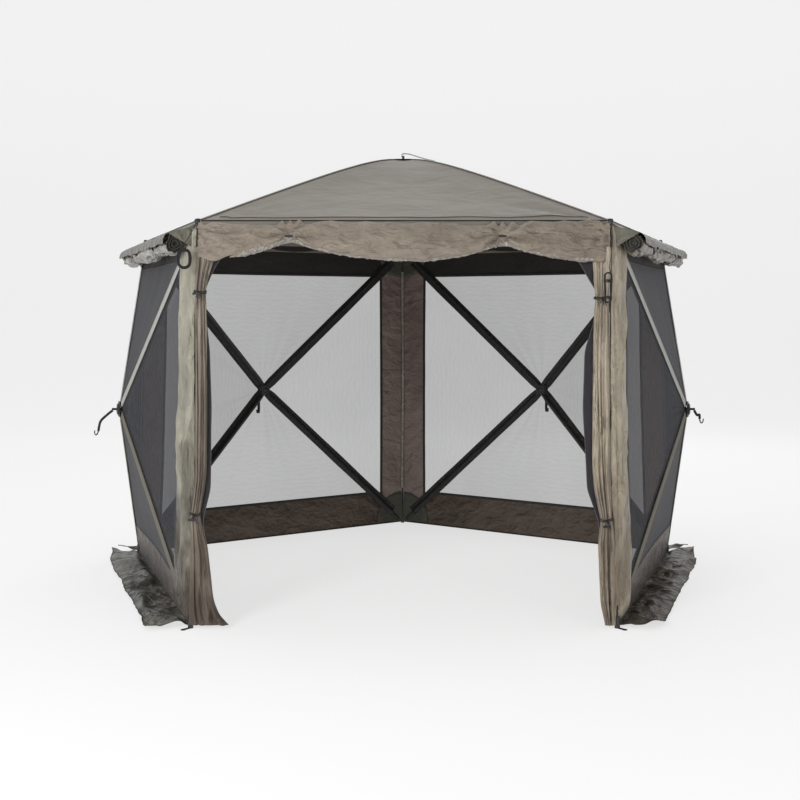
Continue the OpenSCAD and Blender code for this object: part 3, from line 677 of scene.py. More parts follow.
panels = {}
for wi, (w, deg) in enumerate(WALLS.items()):
    edges = {"top": TOP, "bottom": BOTTOM, **SIDES[w]}
    for pi, (nm, i) in enumerate(edges.items()):
        e = Edge(deg, i)
        seed = wi * 5.0 + pi + 1
        bw = {"left": 0.190, "right": 0.168}.get(w, BANDW[nm]) if nm == "front" else BANDW[nm]
        # band cloth, from the seam to its bound edge
        rows = np.concatenate([np.linspace(0, bw, 10), np.linspace(bw, e.h - APEX, 30)[1:]])
        ncol = 73 if nm in ("top", "bottom") else 73
        P = panel_grid(e, seed, rows, ncol, 0.010)
        mask = edge_mask(e, P)
        inb = 1 - smoothstep(bw - 0.02, bw + 0.01, P[..., 1])
        side = nm in ("front", "rear")
        # loose cloth in the band: drawn creases mostly across a column, along a hem band
        if side:
            wr = 0.55 * nz(xyz(P[..., 0] * 9, P[..., 1] * 5 + P[..., 0] * 3, seed)) + 0.6 * ridge(xyz(P[..., 0] * 7, P[..., 1] * 9 + P[..., 0] * 2, seed + 9))
            P[..., 2] += inb * mask * 0.0055 * wr
            if w in ("left", "right") and nm == "front":
                bias = smoothstep(0, 0.03, P[..., 1]) * (1 - smoothstep(bw - 0.07, bw, P[..., 1]))
                fold = 0.5 + 0.6 * nz(xyz(P[..., 0] * 2.8 + P[..., 1] * 6, P[..., 1] * 14, seed + 20)) + 0.9 * ridge(xyz(P[..., 0] * 1.9 + P[..., 1] * 8, P[..., 1] * 16, seed + 30))
                P[..., 2] += bias * smoothstep(0.0, 0.10, mask) * (0.008 + 0.017 * fold)
        else:
            wr = 0.5 * nz(xyz(P[..., 0] * 6, P[..., 1] * 16, seed)) + 0.6 * ridge(xyz(P[..., 0] * 4, P[..., 1] * 11 + P[..., 0] * 2.5, seed + 4))
            P[..., 2] += inb * mask * 0.0060 * wr
        nband = 9
        b = Build()
        b.grid(e.at(P), uv=P[..., :2], face_mat=lambda i, j: 0 if i < nband else 1)
        if side:
            cloth = {"left": COLUMN, "right": COLUMN_R}.get(w, BAND) if nm == "front" else BAND
        else:
            cloth = TOPBAND_SHADED if nm == "top" else HEMBAND
        o = b.make(f"{w}_{nm}_cloth", [cloth, MESH])
        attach(o, f"{w}_{nm}_body")
        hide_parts(f"{w}_{nm}_panel")
        panels[w, nm] = (e, P)
        # bound edge of the band, inside and out
        b = Build()
        u = bw / e.h
        xs = np.linspace(-e.s0 * (1 - u) + 0.01, e.s1 * (1 - u) - 0.01, 60)
        zc = np.interp(xs, P[nband, :, 0], P[nband, :, 2])
        line = e.at(xyz(xs, bw, zc))
        tube(b, line, 0.0, sides=8, flat=(0.016, 0.004), up=e.z)
        o = b.make(f"{w}_{nm}_band_binding", [BINDING])
        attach(o, f"{w}_{nm}_body")

# ---------------------------------------------------------------- sleeves and tapes on the ridges
for wi, (w, deg) in enumerate(WALLS.items()):
    half = {s: Build() for s in SIDES[w]}
    for nm, i in (("top", TOP), ("bottom", BOTTOM)):
        e = Edge(deg, i)
        sides = {s: Edge(deg, k) for s, k in SIDES[w].items()}
        bs_, bt_ = Build(), Build()
        for sx in (-1, 1):
            corner = e.at(V3(-e.s0 if sx < 0 else e.s1, 0, 0))
            oname, other = next((s_, x) for s_, x in sides.items() if min(np.linalg.norm(x.at(V3(-x.s0, 0, 0)) - corner), np.linalg.norm(x.at(V3(x.s1, 0, 0)) - corner)) < 1e-3)
            r = unit(e.hub - corner)
            L = float(np.linalg.norm(e.hub - corner))
            bn = unit(e.z + other.z)
            dih = math.acos(max(-1, min(1, float(e.z @ bn))))
            lat = np.cross(bn, r)
            if lat @ (e.at(V3(0, e.h * 0.3, 0)) - corner) < 0:
                lat = -lat
            td = math.tan(dih)
            # sleeve, inside
            ss = np.concatenate([np.linspace(0.105, 0.17, 5), np.linspace(0.17, L - 0.07, 46)[1:], np.linspace(L - 0.07, L - 0.030, 4)[1:]])
            n = 13
            rows = []
            for k, s in enumerate(ss):
                wdt = 0.031 + 0.0018 * noise.noise((s * 4, wi, sx * 3))
                if s > L - 0.07:
                    wdt *= 1 - 0.15 * (s - L + 0.07) / 0.04
                x = np.linspace(-1, 1, n) * wdt
                top = -0.0025 - np.abs(x) * td
                wr = 0.0018 * nz(xyz(x * 30, s * 14 + x * 20, wi * 3 + sx + (nm == "top")))
                bulge = 0.0225 * np.exp(-((x - 0.010) / 0.0125) ** 2)
                bot = top - 0.0025 - bulge + wr
                ring = np.concatenate([np.stack([x, top], 1), np.stack([x, bot], 1)[::-1]])
                rows.append(corner + r * s + ring[:, 0:1] * lat + ring[:, 1:2] * bn)
            base = bs_.grid(np.array(rows), close_v=True, flip=(sx > 0) ^ (nm == "bottom"))
            k = 2 * n
            bs_.fan([base + j for j in range(k)], rows[0].mean(0))
            bs_.fan([base + (len(ss) - 1) * k + j for j in range(k)], rows[-1].mean(0), flip=True)
            # bare end of the pole's pocket at the corner
            pts = [corner + r * s + lat * 0.012 - bn * (0.0125) for s in np.linspace(0.040, 0.125, 8)]
            tube(bs_, pts, 0.0105, sides=12)
            # tape outside
            tw = 0.019 if nm == "top" else 0.024
            for h_, bld in ((1, bt_), (-1, half[oname])):
                rows = []
                for s in np.linspace(0.05, L - 0.04, 60):
                    x = np.linspace(0.0002, 1, 5) * tw * h_
                    top = 0.0040 - np.abs(x) * td + 0.0008 * nz(xyz(x * 40, s * 8, wi + sx))
                    ring = np.concatenate([np.stack([x, top], 1), np.stack([x, top - 0.0026], 1)[::-1]])
                    rows.append(corner + r * s + ring[:, 0:1] * lat + ring[:, 1:2] * bn)
                base = bld.grid(np.array(rows), 0 if nm == "top" or bld is bt_ else 1, close_v=True)
                bld.fan([base + j for j in range(10)], rows[0].mean(0), 0 if nm == "top" or bld is bt_ else 1)
                bld.fan([base + 59 * 10 + j for j in range(10)], rows[-1].mean(0), 0 if nm == "top" or bld is bt_ else 1, flip=True)
        o = bs_.make(f"{w}_{'upper' if nm == 'top' else 'lower'}_sleeves", [SLEEVE])
        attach(o, f"{w}_{nm}_body")
        o = bt_.make(f"{w}_{'upper' if nm == 'top' else 'lower'}_ridge_tapes", [TAPE_L if nm == "top" else TAPE_D])
        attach(o, f"{w}_{nm}_body")
    for s_, bld in half.items():
        o = bld.make(f"{w}_{s_}_ridge_tapes", [TAPE_L, TAPE_D])
        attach(o, f"{w}_{s_}_body")

# ---------------------------------------------------------------- gussets at the corners of every wall
for wi, (w, deg) in enumerate(WALLS.items()):
    edges = {"top": TOP, "bottom": BOTTOM, **SIDES[w]}
    for nm, i in edges.items():
        e = Edge(deg, i)
        b = Build()
        for sx in (-1, 1):
            cx = -e.s0 if sx < 0 else e.s1
            # from the seam's direction to the ridge's direction
            u = unit(V3(-cx, e.h, 0))
            a1 = math.atan2(u[1], u[0])
            a0 = 0.05 if sx < 0 else math.pi - 0.05
            at_floor = (nm == "bottom") or (nm in ("front", "rear") and e.at(V3(cx, 0, 0))[2] < 0.5)
            R = 0.195 if at_floor else 0.175
            rr = np.linspace(0.004, R, 9)
            aa = np.linspace(a0, a1, 14)
            rg, ag = np.meshgrid(rr, aa, indexing="ij")
            X, Y = cx + rg * np.cos(ag), rg * np.sin(ag)
            Z = 0.0012 * nz(xyz(X * 12, Y * 12, wi + 3.0))
            Pi = xyz(X, Y, Z - 0.0040)
            Po = xyz(X, Y, Z - 0.0024)
            A = b.grid(e.at(Pi), flip=(sx > 0))
            C = b.grid(e.at(Po), flip=(sx < 0))
            nr, na = rg.shape
            rim = [(nr - 1) * na + j for j in range(na)]
            for j in range(na - 1):
                q = [A + rim[j], A + rim[j + 1], C + rim[j + 1], C + rim[j]]
                b.f.append(q if sx < 0 else q[::-1]); b.m.append(0)
        o = b.make(f"{w}_{nm}_gussets", [GUSSET])
        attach(o, f"{w}_{nm}_body")

# ---------------------------------------------------------------- hub boots and pull straps
for wi, (w, deg) in enumerate(WALLS.items()):
    e = Edge(deg, TOP)
    o_, tx, up, out = wall_axes(deg)
    hub = o_ + out * POP
    b = Build()
    a = np.arange(32) * 2 * math.pi / 32
    for s, z0, z1 in ((1, 0.0045, 0.0085), (-1, -0.0305, -0.0335)):
        # cloth patch under the hub's plate, pinched to four lobes along the poles
        rings = []
        for r in np.linspace(0.010, 0.042, 7):
            r = r * 1.0
            rad = r * (1 + 0.16 * np.cos(4 * a - math.pi) * (r / 0.042))
            z = z1 + (-0.007 if s > 0 else 0.012) * (r / 0.042) ** 2 + 0.0012 * np.sin(12 * a) * r / 0.042
            rings.append(hub + (rad * np.cos(a))[:, None] * tx + (rad * np.sin(a))[:, None] * up + np.asarray(z)[:, None] * out)
        b.grid(np.array(rings), close_v=True, flip=s < 0)
        b.grid(np.array(rings) - out * s * 0.002, close_v=True, flip=s > 0)
    o = b.make(f"{w}_hub_patch", [SLEEVE])
    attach(o, f"{w}_hub_body")
    # moulded hub: a cap outside and a cap inside on one post, with an arm over each pole, ears and a pin
    b = Build()
    a = np.arange(36) * 2 * math.pi / 36
    for s, prof in ((1, ((0.0245, 0.0040), (0.0270, 0.0050), (0.0275, 0.0085), (0.0262, 0.0108), (0.0210, 0.0122), (0.0200, 0.0112), (0.0120, 0.0114), (0.0110, 0.0130), (0.0060, 0.0140))),
                    (-1, ((0.0260, -0.0290), (0.0285, -0.0300), (0.0290, -0.0335), (0.0275, -0.0360), (0.0215, -0.0376), (0.0205, -0.0366), (0.0120, -0.0368), (0.0110, -0.0385), (0.0060, -0.0395)))):
        rings = [hub + r * (np.cos(a)[:, None] * tx + np.sin(a)[:, None] * up) + z * out for r, z in prof]
        base = b.grid(np.array(rings), close_v=True, flip=s < 0)
        b.fan([base + j for j in range(36)], hub + prof[0][1] * out)
        b.fan([base + (len(prof) - 1) * 36 + j for j in range(36)], hub + prof[-1][1] * out, flip=True)
    tube(b, [hub + out * z for z in np.linspace(-0.032, 0.006, 6)], 0.0085, sides=20)
    for cx, cy in WC:
        dr = unit(tx * cx + up * cy)
        for z, hh_ in ((0.0030, 0.0060), (-0.0305, 0.0060)):
            drop = -0.10 if z > 0 else -0.02
            pts = [hub + dr * r + out * (z + drop * max(0, r - 0.015)) for r in np.linspace(0.004, 0.043, 8)]
            tube(b, pts, 0.0, sides=16, flat=(0.0150 if abs(dr @ up) >= 0 else 0.015, hh_), up=out)
    for q in (-1, 1):
        tube(b, [hub + tx * q * 0.0125 + out * z for z in np.linspace(0.009, 0.0352, 7)], 0.0, sides=16, flat=(0.0095, 0.0042), up=tx)
    tube(b, [hub + out * 0.030 + tx * x for x in np.linspace(-0.0165, 0.0165, 7)], 0.0032, sides=14)
    o = b.make(f"{w}_hub_moulding", [PLASTIC])
    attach(o, f"{w}_hub_body")
    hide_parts(f"{w}_hub")
    # pull strap: doubled webbing sewn to a loop round the pin, bent by its own stiffness
    b = Build()
    pin = hub + out * 0.030
    kick = {"left": 0.070, "right": 0.028, "back_left": 0.018, "back_right": 0.012}[w]
    ln = {"left": 0.112, "right": 0.050, "back_left": 0.135, "back_right": 0.125}[w]
    ring = [pin + (math.cos(t) * out + math.sin(t) * up) * 0.0044 for t in np.linspace(math.radians(-60), math.radians(240), 14)]
    tail = spline([pin - up * 0.006 + out * 0.002, pin - up * 0.03 + out * (0.006 + kick * 0.35), pin - up * ln * 0.55 + out * (0.004 + kick * 0.8), pin - up * ln * 0.97 + out * kick], 22)
    tube(b, tail, 0.0, sides=12, flat=(0.018, 0.0036 if w.startswith("back") else 0.0110), up=out)
    tube(b, ring, 0.0, sides=12, flat=(0.018, 0.0020), up=up)
    # stitched end loop
    end = tail[-1]
    dn = unit(tail[-1] - tail[-3])
    side = np.cross(dn, tx)
    loop = [end + dn * (0.016 * math.sin(t)) * 1.3 + side * (0.0085 * (1 - math.cos(t))) for t in np.linspace(0, math.pi, 12)]
    tube(b, loop, 0.0, sides=12, flat=(0.017, 0.0046), up=side)
    for s in (0.2, 0.82):
        c = tail[int(s * 21)]
        dn2 = unit(tail[int(s * 21)] - tail[int(s * 21) - 1])
        nn = np.cross(dn2, tx)
        for q in (-1, 1):
            for k in range(4):
                p0 = c + tx * (-0.006 + 0.004 * k) + nn * q * 0.0021
                tube(b, [p0 - dn2 * 0.004, p0 + dn2 * 0.004], 0.0006, sides=6, mat=1)
    o = b.make(f"{w}_strap_webbing", [BLACKWEB, GREYWEB])
    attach(o, f"{w}_strap_body")
    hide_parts(f"{w}_pull_strap")

# ---------------------------------------------------------------- roof
ROOFS = {"front": -90, "right": -18, "back_right": 54, "back_left": 126, "left": 198}
CORNERS = {"front_left": -126, "front_right": -54, "right": 18, "back": 90, "left": 162}


def g(t):
    return (np.sqrt(t * t + 0.04) - 0.2) / (math.sqrt(1.04) - 0.2)


def roof_z(t):
    return ZE + RISE * (1 - g(t))


def radial(deg):
    a = math.radians(deg)
    return V3(math.cos(a), math.sin(a), 0), V3(-math.sin(a), math.cos(a), 0)


roof_pts = {}
for ri, (nm, deg) in enumerate(ROOFS.items()):
    n, t = radial(deg)
    tt = np.concatenate([np.linspace(0.004, 0.12, 8), np.linspace(0.12, 1, 44)[1:]])
    cc = np.linspace(-1, 1, 65)
    T, Cc = np.meshgrid(tt, cc, indexing="ij")
    x, y = APE * T, APE * T36 * T * Cc
    z = roof_z(T)
    inside = (1 - Cc ** 2)
    sag = 0.020 * inside * np.sin(math.pi * np.clip(T, 0, 1)) ** 0.8
    edge = smoothstep(0, 0.12, 1 - np.abs(Cc)) * smoothstep(0.0, 0.03, 1 - T)
    wr = np.zeros_like(z)
    for sgn in (-1, 1):
        dx, dy = APE - x, WT * sgn - y
        r = np.hypot(dx, dy)
        a = np.arctan2(dx, -dy * sgn)
        wr += 0.0190 * np.exp(-r / 0.45) * nz(xyz(a * 6.5, r * 1.2, ri * 3.3 + sgn)) * smoothstep(0.02, 0.16, r)
    wr += 0.0035 * nz(xyz(x * 2.2, y * 4.5, ri * 1.7))
    wr += 0.0050 * np.exp(-((1 - T) / 0.10) ** 2) * ridge(xyz(x * 6, y * 3.2, ri + 8.0)) * 0.8
    z = z - sag + wr * edge
    P = V3(0, SY, 0) + x[..., None] * n + y[..., None] * t + z[..., None] * V3(0, 0, 1)
    # turned-down eave edge, which stays with the eave's binding when the roof drops
    drop = [P[-1] + n * 0.0006]
    for k, (dz, do) in enumerate(((0.004, 0.005), (0.012, 0.0075), (0.024, 0.0070), (0.034, 0.0055))):
        wv = 0.0022 * nz(xyz(y[-1] * 7, k * 0.6, ri * 2.0))
        drop.append(P[-1] + n * (do + wv)[:, None] - V3(0, 0, 1) * dz)
    uv = np.stack([y, x], -1)
    b = Build()
    b.grid(np.array(drop))
    o = b.make(f"roof_{nm}_eave_hem", [ROOF])
    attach(o, "shelter")
    b = Build()
    b.grid(P, uv=uv)
    o = b.make(f"roof_{nm}_cloth", [ROOF])
    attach(o, f"roof_{nm}_body")
    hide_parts(f"roof_{nm}_panel")
    # stitched hem seam along the eave
    b = Build()
    k = len(tt) - 3
    tube(b, P[k, 2:-2] + V3(0, 0, 0.0015) + n * 0.001, 0.0, sides=8, flat=(0.010, 0.0030), up=V3(0, 0, 1))
    o = b.make(f"roof_{nm}_eave_seam", [BINDING if nm != "front" else TAPE_D])
    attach(o, f"roof_{nm}_body")

PANEL_AT = {d % 360: nm for nm, d in ROOFS.items()}
for nm, deg in CORNERS.items():
    n, t = radial(deg)
    tt = np.linspace(0.012, 0.992, 60)
    for sg in (-1, 1):
        # each panel carries its own half of the felled seam
        b = Build()
        rows = []
        for q in tt:
            x = np.linspace(0.0002, 0.010, 5) * sg
            zz = 0.0040 - np.abs(x) * 0.17
            ring = np.concatenate([np.stack([x, zz], 1), np.stack([x, zz - 0.0045], 1)[::-1]])
            c = V3(0, SY, 0) + n * RE * q + V3(0, 0, 1) * float(roof_z(q))
            rows.append(c + ring[:, 0:1] * t + ring[:, 1:2] * V3(0, 0, 1))
        base = b.grid(np.array(rows), close_v=True, flip=sg < 0)
        b.fan([base + j for j in range(10)], rows[0].mean(0), flip=sg < 0)
        b.fan([base + 59 * 10 + j for j in range(10)], rows[-1].mean(0), flip=sg > 0)
        panel = PANEL_AT[(deg + 36 * sg) % 360]
        o = b.make(f"roof_ridge_seam_{nm}_{panel}", [ROOF])
        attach(o, f"roof_{panel}_body")

# crown patch over the roof hub and the loop of grey webbing on it
b = Build()
a = np.arange(40) * 2 * math.pi / 40
rings = []
for r in np.linspace(0.009, 0.085, 8):
    z = roof_z(r / RE) + 0.006 - 0.003 * (r / 0.085) + 0.0006 * np.sin(5 * a) * r / 0.085
    rings.append(V3(0, SY, 0) + np.stack([r * np.cos(a), r * np.sin(a), z], -1))
b.grid(np.array(rings), close_v=True, flip=True)
b.grid(np.array(rings) - V3(0, 0, 0.003), close_v=True)
o = b.make("roof_crown_patch", [ROOF])
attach(o, "roof_hub_body")

b = Build()
c = V3(0, SY, ZP)
loop = spline([c + V3(0.000, 0, 0.0115), c + V3(-0.008, 0, 0.022), c + V3(-0.002, 0, 0.034), c + V3(0.030, -0.004, 0.032), c + V3(0.075, -0.008, 0.018), c + V3(0.120, -0.010, 0.005), c + V3(0.160, -0.010, -0.004)], 34)
tube(b, loop, 0.0, sides=12, flat=(0.022, 0.0050), up=V3(0, 0, 1))
loop = spline([c + V3(0.160, -0.010, -0.004), c + V3(0.168, -0.010, -0.009), c + V3(0.150, -0.010, -0.009), c + V3(0.110, -0.009, -0.001)], 16)
tube(b, loop, 0.0, sides=12, flat=(0.019, 0.0028), up=V3(0, 0, 1))
o = b.make("roof_strap_webbing", [GREYWEB])
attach(o, "roof_strap_body")
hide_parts("roof_pull_strap")

# ---------------------------------------------------------------- door valance, rolled up under the front eave
n, t = radial(-90)
SB = [(-0.884, -0.160), (-0.80, -0.166), (-0.70, -0.150), (-0.60, -0.122), (-0.487, -0.084), (-0.38, -0.118), (-0.22, -0.150), (-0.05, -0.166),
      (0.10, -0.168), (0.26, -0.146), (0.34, -0.122), (0.416, -0.096), (0.50, -0.122), (0.62, -0.150), (0.76, -0.170), (0.884, -0.172)]
ss = np.linspace(-0.880, 0.880, 221)
zb = np.interp(ss, [s for s, _ in SB], [z for _, z in SB])
ker = np.hanning(13); ker /= ker.sum()
zb = np.convolve(np.pad(zb, 6, mode="edge"), ker, mode="valid")
tog = np.exp(-((ss + 0.487) / 0.035) ** 2) + np.exp(-((ss - 0.416) / 0.035) ** 2)
nth = 40
rows = []
for k, s in enumerate(ss):
    th = np.arange(nth) * 2 * math.pi / nth
    h = (-0.012 - zb[k]) / 2
    zc = (-0.012 + zb[k]) / 2
    endp = min(1, (0.884 - abs(s)) / 0.14)
    d = (0.034 + 0.010 * math.sin(s * 4 + 1)) * (1 - 0.55 * min(1, tog[k])) * (0.45 + 0.55 * max(0, endp) ** 0.6)
    # belly low, flat top where it is sewn under the eave
    cz, cy = np.cos(th), np.sin(th)
    low = (1 - cz) / 2
    yy = 0.010 + d * (0.45 + 0.75 * low) + d * (0.55 + 0.55 * low) * np.sign(cy) * np.abs(cy) ** 0.9
    zz = zc + h * cz
    rows.append(np.stack([np.full(nth, s), yy, zz], -1))
P = np.array(rows)
q = P.copy()
dis = 0.0085 * nz(xyz(q[..., 0] * 6, q[..., 1] * 10, q[..., 2] * 12)) + 0.0105 * (ridge(xyz(q[..., 0] * 5, q[..., 1] * 6, q[..., 2] * 13), 1, 3) - 0.3)
for s0, z0 in ((-0.487, -0.055), (0.416, -0.06), (-0.884, -0.03), (0.884, -0.03)):
    dx, dz = q[..., 0] - s0, q[..., 2] - z0
    r = np.hypot(dx, dz)
    dis += 0.0150 * np.exp(-r / 0.16) * smoothstep(0.01, 0.05, r) * np.sin(np.arctan2(dz, dx) * 9 + 3 * nz(xyz(r * 9, s0, 0)))
nrm = np.stack([np.zeros_like(q[..., 0]), q[..., 1] - 0.035, (q[..., 2] + 0.08) * 0.6], -1)
nrm /= np.maximum(np.linalg.norm(nrm, axis=-1, keepdims=True), 1e-6)
P = P + nrm * dis[..., None]
P[..., 1] = np.maximum(P[..., 1], 0.008)
W = V3(0, SY, ZE) + P[..., 0:1] * t + (APE + P[..., 1:2]) * n + P[..., 2:3] * V3(0, 0, 1)
b = Build()
base = b.grid(W, close_v=True)
b.fan([base + j for j in range(nth)], W[0].mean(0))
b.fan([base + (len(ss) - 1) * nth + j for j in range(nth)], W[-1].mean(0), flip=True)
o = b.make("door_valance", [VALANCE])
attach(o, "shelter")
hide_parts("door_valance_roll")
# crinkled foil edge that shows under the roll
b = Build()
sel = [k for k in range(len(ss)) if -0.745 < ss[k] < 0.835]
lat = []
for k in sel:
    s = ss[k]
    prof = []
    cx = 0.5 + 0.5 * math.sin(s * 23) * 0.25
    for j, (dy, dz) in enumerate(((0.020, 0.026), (0.031, 0.021), (0.036, 0.010), (0.033, -0.001), (0.024, -0.008), (0.010, -0.008), (0.004, 0.001), (0.010, 0.014))):
        jit = 0.0042 * noise.noise((s * 55, j * 2.1, 4.0)) + 0.0035 * noise.noise((s * 120, j * 3.7, 9.0))
        taper = min(1, (0.835 - s) / 0.06, (s + 0.745) / 0.06)
        prof.append((s, 0.018 + (dy + jit) * (0.55 + 0.45 * taper) * (1 - 0.35 * min(1, tog[k])), zb[k] + (dz * 0.9 + jit) * max(0.25, taper)))
    lat.append(prof)
P = np.array(lat)
W = V3(0, SY, ZE) + P[..., 0:1] * t + (APE + P[..., 1:2]) * n + P[..., 2:3] * V3(0, 0, 1)
base = b.grid(W, close_v=True)
b.fan([base + j for j in range(8)], W[0].mean(0))
b.fan([base + (len(sel) - 1) * 8 + j for j in range(8)], W[-1].mean(0), flip=True)
o = b.make("door_valance_foil_edge", [SILVER])
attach(o, "shelter")

# ---------------------------------------------------------------- rolled-up wind panels
for wi, (w, deg) in enumerate(WALLS.items()):
    n, t = radial(deg)
    LR = SE / 2 - 0.018
    ss = np.linspace(-LR, LR, 150)
    nth = 36
    th = np.arange(nth) * 2 * math.pi / nth
    rows = []
    for k, s in enumerate(ss):
        pin = math.exp(-((abs(s) - 0.44) / 0.035) ** 2)
        sag = 0.014 * math.cos(math.pi * s / 0.88) ** 2 if abs(s) < 0.44 else 0.010 * math.sin(math.pi * (abs(s) - 0.44) / (LR - 0.44))
        r0 = 0.0395 * (1 - 0.25 * pin) * (1 + 0.14 * noise.noise((s * 2.3, wi * 3.1, 0.5)))
        r = r0 + 0.0 * th
        rows.append(np.stack([np.full(nth, s), 0.092 + r * np.cos(th) * 1.0 + 0.006 * noise.noise((s * 3, 7.7, wi)), -0.096 - sag * 0.6 + r * np.sin(th) * 1.0], -1))
    P = np.array(rows)
    cyl = xyz(P[..., 0] * 4.5, np.cos(th)[None, :] * 1.3 + wi * 4, np.sin(th)[None, :] * 1.3 + P[..., 0] * 1.5)
    dis = 0.0095 * nz(cyl) + 0.0095 * (ridge(xyz(cyl[..., 0] * 1.6, cyl[..., 1] * 1.4, cyl[..., 2] * 1.4), 1, wi + 5.0) - 0.35)
    dis += 0.004 * np.sin(3 * th[None, :] + P[..., 0] * 6 + 2 * nz(xyz(P[..., 0] * 2, wi, 0)))
    cen = np.stack([P[..., 0].mean(1), P[..., 1].mean(1), P[..., 2].mean(1)], -1)[:, None, :]
    rad = P - cen
    rad /= np.linalg.norm(rad, axis=-1, keepdims=True)
    dis = np.clip(dis, -0.014, 0.010)
    P = P + rad * dis[..., None]
    b = Build()
    W = lambda Q: V3(0, SY, ZE) + Q[..., 0:1] * t + (APE + Q[..., 1:2]) * n + Q[..., 2:3] * V3(0, 0, 1)
    base = b.grid(W(P), close_v=True, flip=True)
    for end in (0, -1):
        # wound layers at the end of the roll
        cx = P[end].mean(0)
        sg = -1 if end == 0 else 1
        rings = [P[end]]
        for fr, dp in ((0.97, 0.004), (0.88, 0.005), (0.83, -0.012), (0.74, -0.014), (0.70, 0.001), (0.60, 0.002), (0.54, -0.016), (0.43, -0.017), (0.39, -0.004), (0.28, -0.004), (0.22, -0.022), (0.08, -0.024)):
            rr = cx + (P[end] - cx) * fr
            rr[:, 0] = cx[0] + sg * dp
            rings.append(rr)
        bb = b.grid(W(np.array(rings)), 1, close_v=True, flip=end == 0)
        b.fan([bb + (len(rings) - 1) * nth + j for j in range(nth)], W(np.array([cx + V3(sg * -0.024, 0, 0)]))[0], 1, flip=end == 0)
    o = b.make(f"{w}_wind_panel", [ROLL_L_PALE_LIT if "left" in w else ROLL_R_BROWN_SHADED, ROLL_IN])
    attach(o, "shelter")
    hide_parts(f"{w}_wind_roll")
    # heading cloth: sewn under the eave, it runs out over the roll and turns down behind its front
    b = Build()
    ys = np.linspace(-LR - 0.006, LR + 0.006, 130)
    prof = spline([(0.010, -0.012), (0.045, -0.030), (0.090, -0.041), (0.128, -0.055), (0.146, -0.078), (0.1475, -0.100)], 20)
    rows = []
    for k, (dy, dz) in enumerate(prof):
        f = k / 19
        wv = 0.010 * f * nz(xyz(ys * 5, dy * 7, wi * 2.0)) + 0.008 * f * ridge(xyz(ys * 4.5 + f * 1.4, f * 1.5, wi + 2.5))
        pin = np.exp(-((np.abs(ys) - 0.44) / 0.04) ** 2)
        rows.append(xyz(ys, dy + wv * 0.35 * f, dz + wv * 0.55 - 0.006 * pin * f))
    Q = np.array(rows)
    A = b.grid(W(Q))
    C = b.grid(W(Q - V3(0, 0.0012, 0.0016)), flip=True)
    # cheeks that close the heading's two ends against the wall
    for end in (0, -1):
        edge_ = Q[:12, end]
        back_ = np.stack([np.full(12, edge_[0, 0]), np.linspace(0.0075, 0.010, 12), np.linspace(-0.014, -0.120, 12)], -1)
        rows = [edge_ + (back_ - edge_) * f + V3(0, 0, 0.0) for f in np.linspace(0, 1, 8)]
        R_ = np.array(rows)
        R_[..., 0] += (0.004 if end else -0.004) * np.sin(np.linspace(0, math.pi, 8))[:, None]
        b.grid(W(R_), flip=bool(end))
        b.grid(W(R_ + V3(0.0012 if end == 0 else -0.0012, 0, 0)), flip=not end)
    o = b.make(f"{w}_wind_panel_heading", [HOOD])
    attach(o, "shelter")
    # two ties round each roll
    b = Build()
    for s0 in (-0.44, 0.44):
        k = int(np.argmin(np.abs(ss - s0)))
        cx = P[k].mean(0)
        ring = cx + (P[k] - cx) * 1.07
        ring = np.vstack([ring, ring[:1]])
        ring[:, 0] = ss[k]
        tube(b, W(ring), 0.0, sides=8, flat=(0.012, 0.0024), up=t)
    o = b.make(f"{w}_wind_panel_ties", [BLACKWEB])
    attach(o, "shelter")

